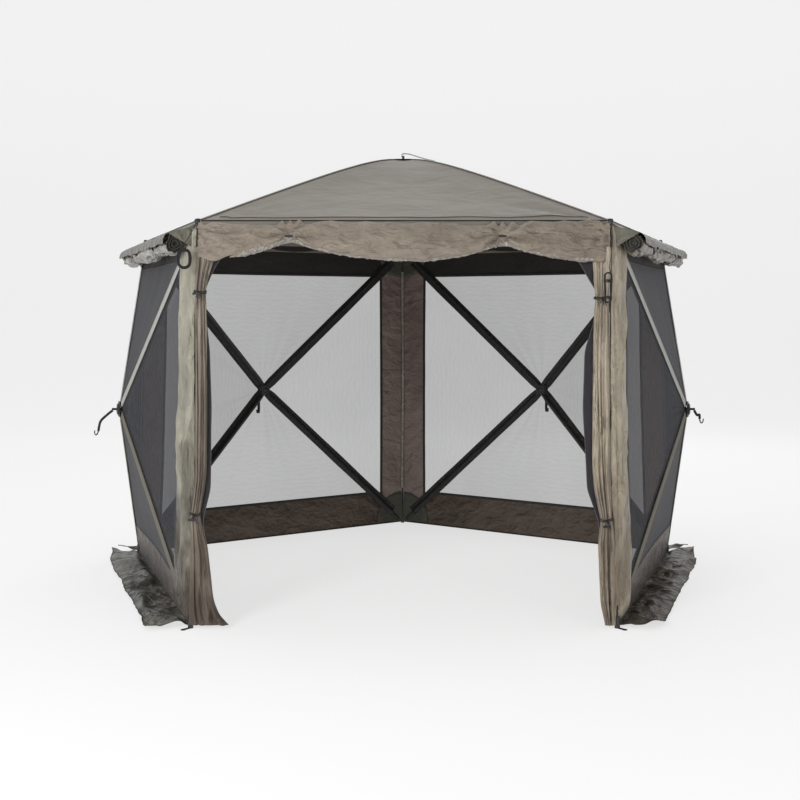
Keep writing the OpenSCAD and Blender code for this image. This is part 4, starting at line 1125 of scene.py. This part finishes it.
# ---------------------------------------------------------------- ground skirts
for wi, (w, deg) in enumerate(WALLS.items()):
    n, t = radial(deg)
    x0, x1 = APF + 0.004, APF + 0.188
    mlo = "square" if w == "right" else "mitre"
    mhi = "square" if w == "left" else "mitre"
    nx, ny = 22, 170
    fx = np.linspace(0, 1, nx)
    rows = []
    for u in fx:
        x = x0 + (x1 - x0) * u
        lo = -(SF / 2 - 0.004) if mlo == "square" else -(T36 * x - 0.012)
        hi = (SF / 2 - 0.004) if mhi == "square" else (T36 * x - 0.012)
        y = np.linspace(lo, hi, ny)
        rows.append(xyz(np.full(ny, x), y, 0))
    P = np.array(rows)
    u = np.repeat(fx[:, None], ny, 1)
    # the skirts' cloth lies pulled in at the left and the right corner
    far = {"left": -1, "right": 1, "back_left": 1, "back_right": -1}[w]
    q = P[..., 1] * far / (SF / 2)
    P[..., 1] -= far * 0.060 * u * smoothstep(0.55, 1.12, q)
    P[..., 0] -= 0.045 * u * smoothstep(0.70, 1.12, q)
    y = P[..., 1]
    P[..., 0] += (0.010 * nz(xyz(y * 4, 0, wi * 3)) + 0.006 * nz(xyz(y * 13, 0, wi * 5 + 2))) * u
    lift = 0.016 * (0.5 + 0.5 * nz(xyz(P[..., 0] * 7, y * 3.2, wi * 2.0))) + 0.020 * ridge(xyz(P[..., 0] * 5 + y * 1.5, y * 3.4, wi + 11.0)) + 0.004 * ridge(xyz(P[..., 0] * 14, y * 9, wi + 31.0))
    hem = np.exp(-(u / 0.10) ** 2)
    P[..., 2] = 0.0025 + lift * smoothstep(0.0, 0.22, u) * (1 - 0.35 * smoothstep(0.75, 1, u)) + hem * 0.010
    # the corners curl up
    ce = np.minimum(np.abs(y - y[:, :1]), np.abs(y - y[:, -1:]))
    P[..., 2] += 0.034 * np.exp(-(ce / 0.07) ** 2) * smoothstep(0.6, 1, u) * (0.6 + 0.4 * nz(xyz(y * 3, u, 1.0)))
    b = Build()
    A = b.grid(V3(0, SY, 0) + P[..., 0:1] * n + P[..., 1:2] * t + P[..., 2:3] * V3(0, 0, 1), uv=P[..., :2], flip=False)
    o = b.make(f"{w}_ground_skirt", [SKIRT_R if "right" in w else SKIRT])
    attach(o, "shelter")
    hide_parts("ground_skirts")
    # turned hem
    b = Build()
    edge = V3(0, SY, 0) + P[-1, :, 0:1] * n + P[-1, :, 1:2] * t + P[-1, :, 2:3] * V3(0, 0, 1)
    tube(b, edge, 0.0024, sides=8)
    o = b.make(f"{w}_skirt_hem", [BINDING])
    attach(o, "shelter")

# ---------------------------------------------------------------- door curtains, gathered at the front corners
o_, tx, up, out = wall_axes(-90)


def front(P):
    P = np.asarray(P, float)
    return o_ + P[..., 0:1] * tx + P[..., 1:2] * up + P[..., 2:3] * out


def gather(name, side, keys, mat, folds, depth, seed, z_off=0.012, flat=None, zfac=1.0, mats=None):
    """A bundle of hanging folds. keys: (height, outer x, inner x, tightness)."""
    hh = np.linspace(keys[0][0], keys[-1][0], 120)
    kk = np.array(keys, float)
    xo, xi, tg = (np.interp(hh, kk[:, 0], kk[:, c]) for c in (1, 2, 3))
    ker = np.hanning(9); ker /= ker.sum()
    sm = lambda v: np.convolve(np.pad(v, 4, mode="edge"), ker, mode="valid")
    xo, xi, tg = sm(xo), sm(xi), sm(tg)
    nc = folds * 11 + 1
    c = np.linspace(0, 1, nc)
    Cg, Hg = np.meshgrid(c, hh)
    warp = 0.26 * nz(xyz(Cg * 1.6, Hg * 1.5, seed)) + 0.10 * nz(xyz(Cg * 3.5, Hg * 3.6, seed + 5))
    ph_ = (Cg + warp) * folds * 2 * math.pi + 1.3 * Hg + seed
    am_ = 0.35 + 0.65 * np.clip(0.5 + 1.1 * nz(xyz(Cg * folds * 0.8, Hg * 0.9, seed + 9)), 0, 1)
    cr_ = ridge(xyz(Cg * 2.4 + Hg * 0.9, Hg * 2.2, seed + 17)) * 0.0050
    rows = []
    for k, h in enumerate(hh):
        ph = ph_[k]
        amp = depth * (1 - 0.45 * tg[k]) * am_[k]
        z = z_off + (amp * (0.62 * (1 - np.abs(np.sin(ph / 2 + 0.4))) + 0.38 * (0.5 + 0.5 * np.sin(ph * 1.7 + 2.0)) ** 0.8) + cr_[k]) * np.minimum(1, 6 * np.minimum(c, 1 - c) + 0.25)
        x = xo[k] + (xi[k] - xo[k]) * (c + 0.22 / folds * np.cos(ph) / math.pi)
        rows.append(np.stack([side * x, np.full(nc, h), z * zfac], -1))
    P = np.array(rows)
    back = P.copy()
    back[..., 2] = np.maximum(P[..., 2].min(1, keepdims=True) - 0.004, 0.002) + 0 * P[..., 2]
    b = Build()
    A = b.grid(front(P), flip=side > 0)
    C = b.grid(front(back), flip=side < 0)
    a, bb = P.shape[:2]
    for i in range(a - 1):
        for j in (0, bb - 1):
            q = [A + i * bb + j, A + (i + 1) * bb + j, C + (i + 1) * bb + j, C + i * bb + j]
            b.f.append(q if (j == 0) ^ (side > 0) else q[::-1]); b.m.append(0)
    for j in range(bb - 1):
        for i in (0, a - 1):
            q = [A + i * bb + j, A + i * bb + j + 1, C + i * bb + j + 1, C + i * bb + j]
            b.f.append(q if (i == 0) ^ (side < 0) else q[::-1]); b.m.append(0)
    o = b.make(name, mats or [mat])
    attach(o, "shelter")
    return o


lean_x = lambda h: WB + (WT - WB) * (h + HS) / (2 * HS)
H = lambda z: z - (ZE + Z0) / 2
# left: gathered brown curtain, tied twice
KL = [(H(0.016), 0.926, 0.745, 0.0), (H(0.035), 0.926, 0.790, 0.1), (H(0.123), 0.925, 0.825, 0.2), (H(0.36), 0.922, 0.846, 0.3), (H(0.46), 0.921, 0.872, 0.8), (H(0.495), 0.921, 0.882, 1.0),
      (H(0.53), 0.914, 0.872, 0.8), (H(0.66), 0.899, 0.850, 0.2), (H(0.95), 0.895, 0.845, 0.1), (H(1.25), 0.895, 0.845, 0.2), (H(1.41), 0.895, 0.847, 0.8), (H(1.448), 0.896, 0.850, 1.0),
      (H(1.50), 0.895, 0.842, 0.7), (H(1.58), 0.894, 0.815, 0.3), (H(1.645), 0.894, 0.800, 0.0)]
o = gather("door_curtain_left_cloth", -1, KL, CURTAIN, 3, 0.034, 3.0)
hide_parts("door_curtain_left")
KR = [(H(0.014), 0.915, 0.872, 0.5), (H(0.10), 0.920, 0.852, 0.1), (H(0.382), 0.915, 0.838, 0.3), (H(0.44), 0.905, 0.846, 0.8), (H(0.469), 0.898, 0.851, 1.0), (H(0.50), 0.896, 0.842, 0.8),
      (H(0.60), 0.890, 0.820, 0.2), (H(0.70), 0.887, 0.812, 0.1), (H(1.25), 0.881, 0.812, 0.1), (H(1.38), 0.880, 0.815, 0.7), (H(1.423), 0.878, 0.822, 1.0), (H(1.46), 0.880, 0.815, 0.7),
      (H(1.56), 0.885, 0.810, 0.3), (H(1.645), 0.886, 0.800, 0.0)]
o = gather("door_curtain_right_cloth", 1, KR, CURTAIN_R, 3, 0.034, 8.0)
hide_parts("door_curtain_right")
# the door's mesh, gathered behind the curtain's inner edge
KM = [(H(0.36), 0.880, 0.852, 0.8), (H(0.46), 0.870, 0.845, 1.0), (H(0.60), 0.850, 0.795, 0.2), (H(0.95), 0.850, 0.775, 0.0), (H(1.20), 0.850, 0.782, 0.2), (H(1.40), 0.875, 0.838, 1.0), (H(1.43), 0.880, 0.845, 1.0),
      (H(1.50), 0.875, 0.800, 0.5), (H(1.58), 0.870, 0.755, 0.2), (H(1.625), 0.870, 0.722, 0.0)]
o = gather("door_mesh_right", 1, KM, PURPLE, 4, 0.022, 12.0, z_off=-0.030)
KM = [(H(0.36), 0.890, 0.862, 0.8), (H(0.47), 0.895, 0.870, 1.0), (H(0.60), 0.880, 0.838, 0.3), (H(0.95), 0.880, 0.832, 0.1), (H(1.20), 0.880, 0.838, 0.2), (H(1.44), 0.895, 0.862, 1.0), (H(1.47), 0.890, 0.855, 0.9),
      (H(1.54), 0.885, 0.825, 0.4), (H(1.625), 0.880, 0.775, 0.0)]
o = gather("door_mesh_left", -1, KM, PURPLE, 4, 0.022, 15.0, z_off=-0.030)

# facing cloth: each side wall's column turns the corner and is sewn down beside the gathered curtain
for nm, side, mat, xin in (("left", -1, COLUMN, 0.8975), ("right", 1, COLUMN_R, 0.8870)):
    b = Build()
    hh = np.linspace(H(0.10 if side > 0 else 0.50), H(1.700), 170)
    cc = np.linspace(0, 1, 13)
    Cg, Hg = np.meshgrid(cc, hh)
    xo = lean_x(Hg) + 0.0075
    xi = xin + (0.020 if side > 0 else 0.012) * smoothstep(H(0.62), H(0.42), Hg)
    xi = np.minimum(xi, xo - 0.006)
    X = xo + (xi - xo) * Cg
    Z = 0.0045 + 0.0065 * np.sin(math.pi * np.clip(Cg, 0, 1)) * (0.7 + 0.6 * nz(xyz(Cg * 1.5, Hg * 4.5 + Cg * 1.2, side * 4.0))) + 0.0030 * ridge(xyz(Cg * 1.2, Hg * 7 + Cg * 2, side + 3.0)) * np.sin(math.pi * Cg)
    F = xyz(side * X, Hg, Z)
    b.grid(front(F), flip=side > 0)
    b.grid(front(F - V3(0, 0, 0.0016)), flip=side < 0)
    o = b.make(f"door_facing_{nm}", [mat])
    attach(o, "shelter")
    b = Build()
    line = front(xyz(side * (X[:, -1] - 0.0015), hh, 0.0065))
    tube(b, line, 0.0024, sides=8)
    o = b.make(f"door_facing_piping_{nm}", [BINDING])
    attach(o, "shelter")

# metal zip up the inside of the back corner, where the two walls' columns meet
b = Build()
n, t = radial(90)
zr = np.linspace(0.0, 1.0, 420)
P = []
for k, q in enumerate(zr):
    z = 0.230 + q * 1.390
    r = RF + (RE - RF) * (z - Z0) / (ZE - Z0) - 0.0135
    wdt = 0.0070 + 0.0012 * math.sin(z * 9)
    c = V3(0, SY, 0) + n * r + V3(0, 0, z) + t * 0.0015 * math.sin(z * 5)
    tooth = 0.0012 * (k % 2)
    P.append([c - t * wdt, c - t * wdt * 0.45 - n * (0.0012 + tooth), c - n * (0.0026 - tooth), c + t * wdt * 0.45 - n * (0.0012 + tooth), c + t * wdt, c + n * 0.0016])
b.grid(np.array(P), close_v=True, flip=True)
o = b.make("back_corner_zip", [SILVER])
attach(o, "shelter")

# ties round the curtains
for nm, side, ties in (("left", -1, ((H(0.495), 0.9015, 0.0215), (H(1.448), 0.873, 0.0255))), ("right", 1, ((H(0.469), 0.8745, 0.0260), (H(1.423), 0.850, 0.0300)))):
    b = Build()
    for h, xc, hw in ties:
        for dz_, ph in ((0.0, 0.0), (0.007, 0.4)):
            ring = [front(V3(side * (xc + hw * 1.05 * math.cos(a)), h + dz_ + 0.003 * math.sin(2 * a + ph), 0.016 + 0.0235 * math.sin(a))) for a in np.linspace(0, 2 * math.pi, 33)]
            tube(b, ring, 0.0022, sides=8)
        k = front(V3(side * xc, h, 0.040))
        for q in range(3):
            end = k + tx * (0.014 * (q - 1)) - up * (0.020 + 0.006 * q) + out * 0.006
            tube(b, spline([k, (k + end) / 2 + out * 0.006, end], 8), 0.0018, sides=8)
        knot = [k + 0.005 * (math.cos(a) * tx + math.sin(2 * a) * up * 0.6 + math.sin(a) * out) for a in np.linspace(0, 2 * math.pi, 17)]
        tube(b, knot, 0.0026, sides=8)
    o = b.make(f"curtain_ties_{nm}", [BLACKWEB])
    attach(o, "shelter")

# ---------------------------------------------------------------- guy lines: a lead and a tied hank
GUY_D = 0.003


def bez(c, s):
    c = [np.array(p, float) / 1000 for p in c]
    return c[0] * (1 - s) ** 3 + c[1] * 3 * s * (1 - s) ** 2 + c[2] * 3 * s * s * (1 - s) + c[3] * s ** 3


def guy(name, lead, hank, laps, length):
    """Lead from the eave, then the tied hank: laps of cord with open bends, laid beside each other."""
    pts = [bez(lead, s) for s in np.linspace(0, 1, 24)]
    hx, hy, hl, hw = [v / 1000 for v in hank]
    path = list(pts[:-2])
    if hw > 0.05:
        # an oval coil: four rings side by side, three layers deep, entered along the lead's own line
        path = list(pts[:-6])
        order = []
        for layer in range(3):
            order += [(layer, r if layer % 2 == 0 else 3 - r) for r in range(4)]
        for k in range(laps):
            (l0, r0), (l1, r1) = order[k], order[min(k + 1, len(order) - 1)]
            for j, a in enumerate(np.radians(np.arange(144, 504, 15))):
                f = j / 24
                r = 0.0300 - 0.0034 * (r0 + (r1 - r0) * f)
                z = 0.0849 - 0.0037 * (l0 + (l1 - l0) * f * f * (3 - 2 * f))
                path.append(V3(hx + r * math.cos(a), hy + 0.013 * max(-1.0, min(1.0, 2.2 * math.sin(a))) + r * math.sin(a), z))
    else:
        for k in range(laps):
            ring, nring = k // 5, (k + 1) // 5
            layer = k % 5 if ring % 2 == 0 else 4 - k % 5
            nlayer = (k + 1) % 5 if nring % 2 == 0 else 4 - (k + 1) % 5
            z0, z1 = 0.073 + 0.0037 * layer, 0.073 + 0.0037 * nlayer
            rt, rb = 0.0160 - 0.0036 * ring, 0.0134 - 0.0036 * ring
            top, bot = hy + hl / 2 - 0.002 - 0.0160, hy - hl / 2 + 0.002 + 0.0134
            lap = [(hx + rt * math.cos(a), top + rt * math.sin(a)) for a in np.radians((60, 30, 0) if k else (0,))]
            lap += [(hx + rt + (rb - rt) * f, top + (bot - top) * f) for f in (0.25, 0.5, 0.75)]
            lap += [(hx + rb * math.cos(a), bot + rb * math.sin(a)) for a in np.radians((0, -30, -60, -90, -120, -150, -180))]
            lap += [(hx - rb + (rb - rt) * f, bot + (top - bot) * f) for f in (0.25, 0.5, 0.75)]
            lap += [(hx + q * math.cos(a), top + q * math.sin(a)) for a, q in zip(np.radians((180, 150, 120, 90)), np.linspace(rt, 0.0160 - 0.0036 * nring, 4))]
            for j, (x, y) in enumerate(lap):
                path.append(V3(x, y, z0 + (z1 - z0) * (j / len(lap)) ** 3))
    P = spline(path, 1900)
    W = front(P)
    L = float(np.linalg.norm(np.diff(W, axis=0), axis=1).sum())
    return W, L


def cord_object(name, W, body, nodes, L, exit_pt):
    cu = bpy.data.curves.new(name, "CURVE")
    cu.dimensions = "3D"
    cu.bevel_depth = GUY_D / 2
    cu.bevel_resolution = 2
    cu.use_fill_caps = True
    sp = cu.splines.new("POLY")
    sp.points.add(len(W) - 1)
    for p, w_ in zip(sp.points, W):
        p.co = (*map(float, w_), 1)
    o = bpy.data.objects.new(name, cu)
    bpy.context.scene.collection.objects.link(o)
    cu.materials.append(CORD)
    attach(o, body)
    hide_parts(*nodes)
    return o


LEAD_L = [(-885, 864, 12.5), (-890, 836, 52), (-915, 800, 84), (-930, 752, 82)]
LEAD_R = [(885, 864, 12.5), (892, 815, 50), (880, 720, 86), (864, 651, 80)]
for nm, lead, hank, runs in (("left", LEAD_L, (-930, 706, 90, 66), 11), ("right", LEAD_R, (864, 584, 133, 36), 8)):
    W, L = guy(nm, lead, hank, runs, 2.5)
    o = cord_object(f"guy_line_{nm}", W, "shelter", (f"guy_lead_{nm}", f"guy_hank_{nm}"), L, W[0])
    # wrap that ties the hank
    hx, hy, hl, hw = [v / 1000 for v in hank]
    b = Build()
    for q in range(4):
        ring = []
        for a in np.linspace(0, 2 * math.pi, 25):
            t = 0.0036 * q + 0.0036 * a / (2 * math.pi)
            if hw > 0.05:
                ring.append(front(V3(hx - 0.0072 + t, hy + 0.0380 + 0.0085 * math.cos(a), 0.0812 + 0.0072 * math.sin(a))))
            else:
                ring.append(front(V3(hx + 0.0185 * math.cos(a), hy + hl * 0.16 + t, 0.081 + 0.0125 * math.sin(a))))
        tube(b, ring, 0.0015, sides=8)
    wrap = b.make(f"guy_wrap_{nm}", [CORD])
    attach(wrap, "shelter")
    print("guy", nm, "length", round(L, 3))

# ---------------------------------------------------------------- CAD pieces keep their shape and get real materials
SHOWN = {"hub": PLASTIC, "pole": POLE}
for name in frame["nodes"]:
    ob = bpy.data.objects.get(name) or next((x for x in bpy.data.objects if x.get("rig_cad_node") == name), None)
    if ob is None or ob.hide_render:
        continue
    if "pole" in name:
        mt = POLE
    elif name == "seam_bindings":
        mt = BINDING
    elif name == "stake_tabs":
        mt = BLACKWEB
    else:
        mt = PLASTIC
    ob.data.materials.clear()
    ob.data.materials.append(mt)

bpy.context.scene.view_settings.view_transform = "Standard"
bpy.context.scene.view_settings.look = "None"
bpy.context.scene.view_settings.exposure = 0.0
bpy.context.scene.view_settings.gamma = 1.0
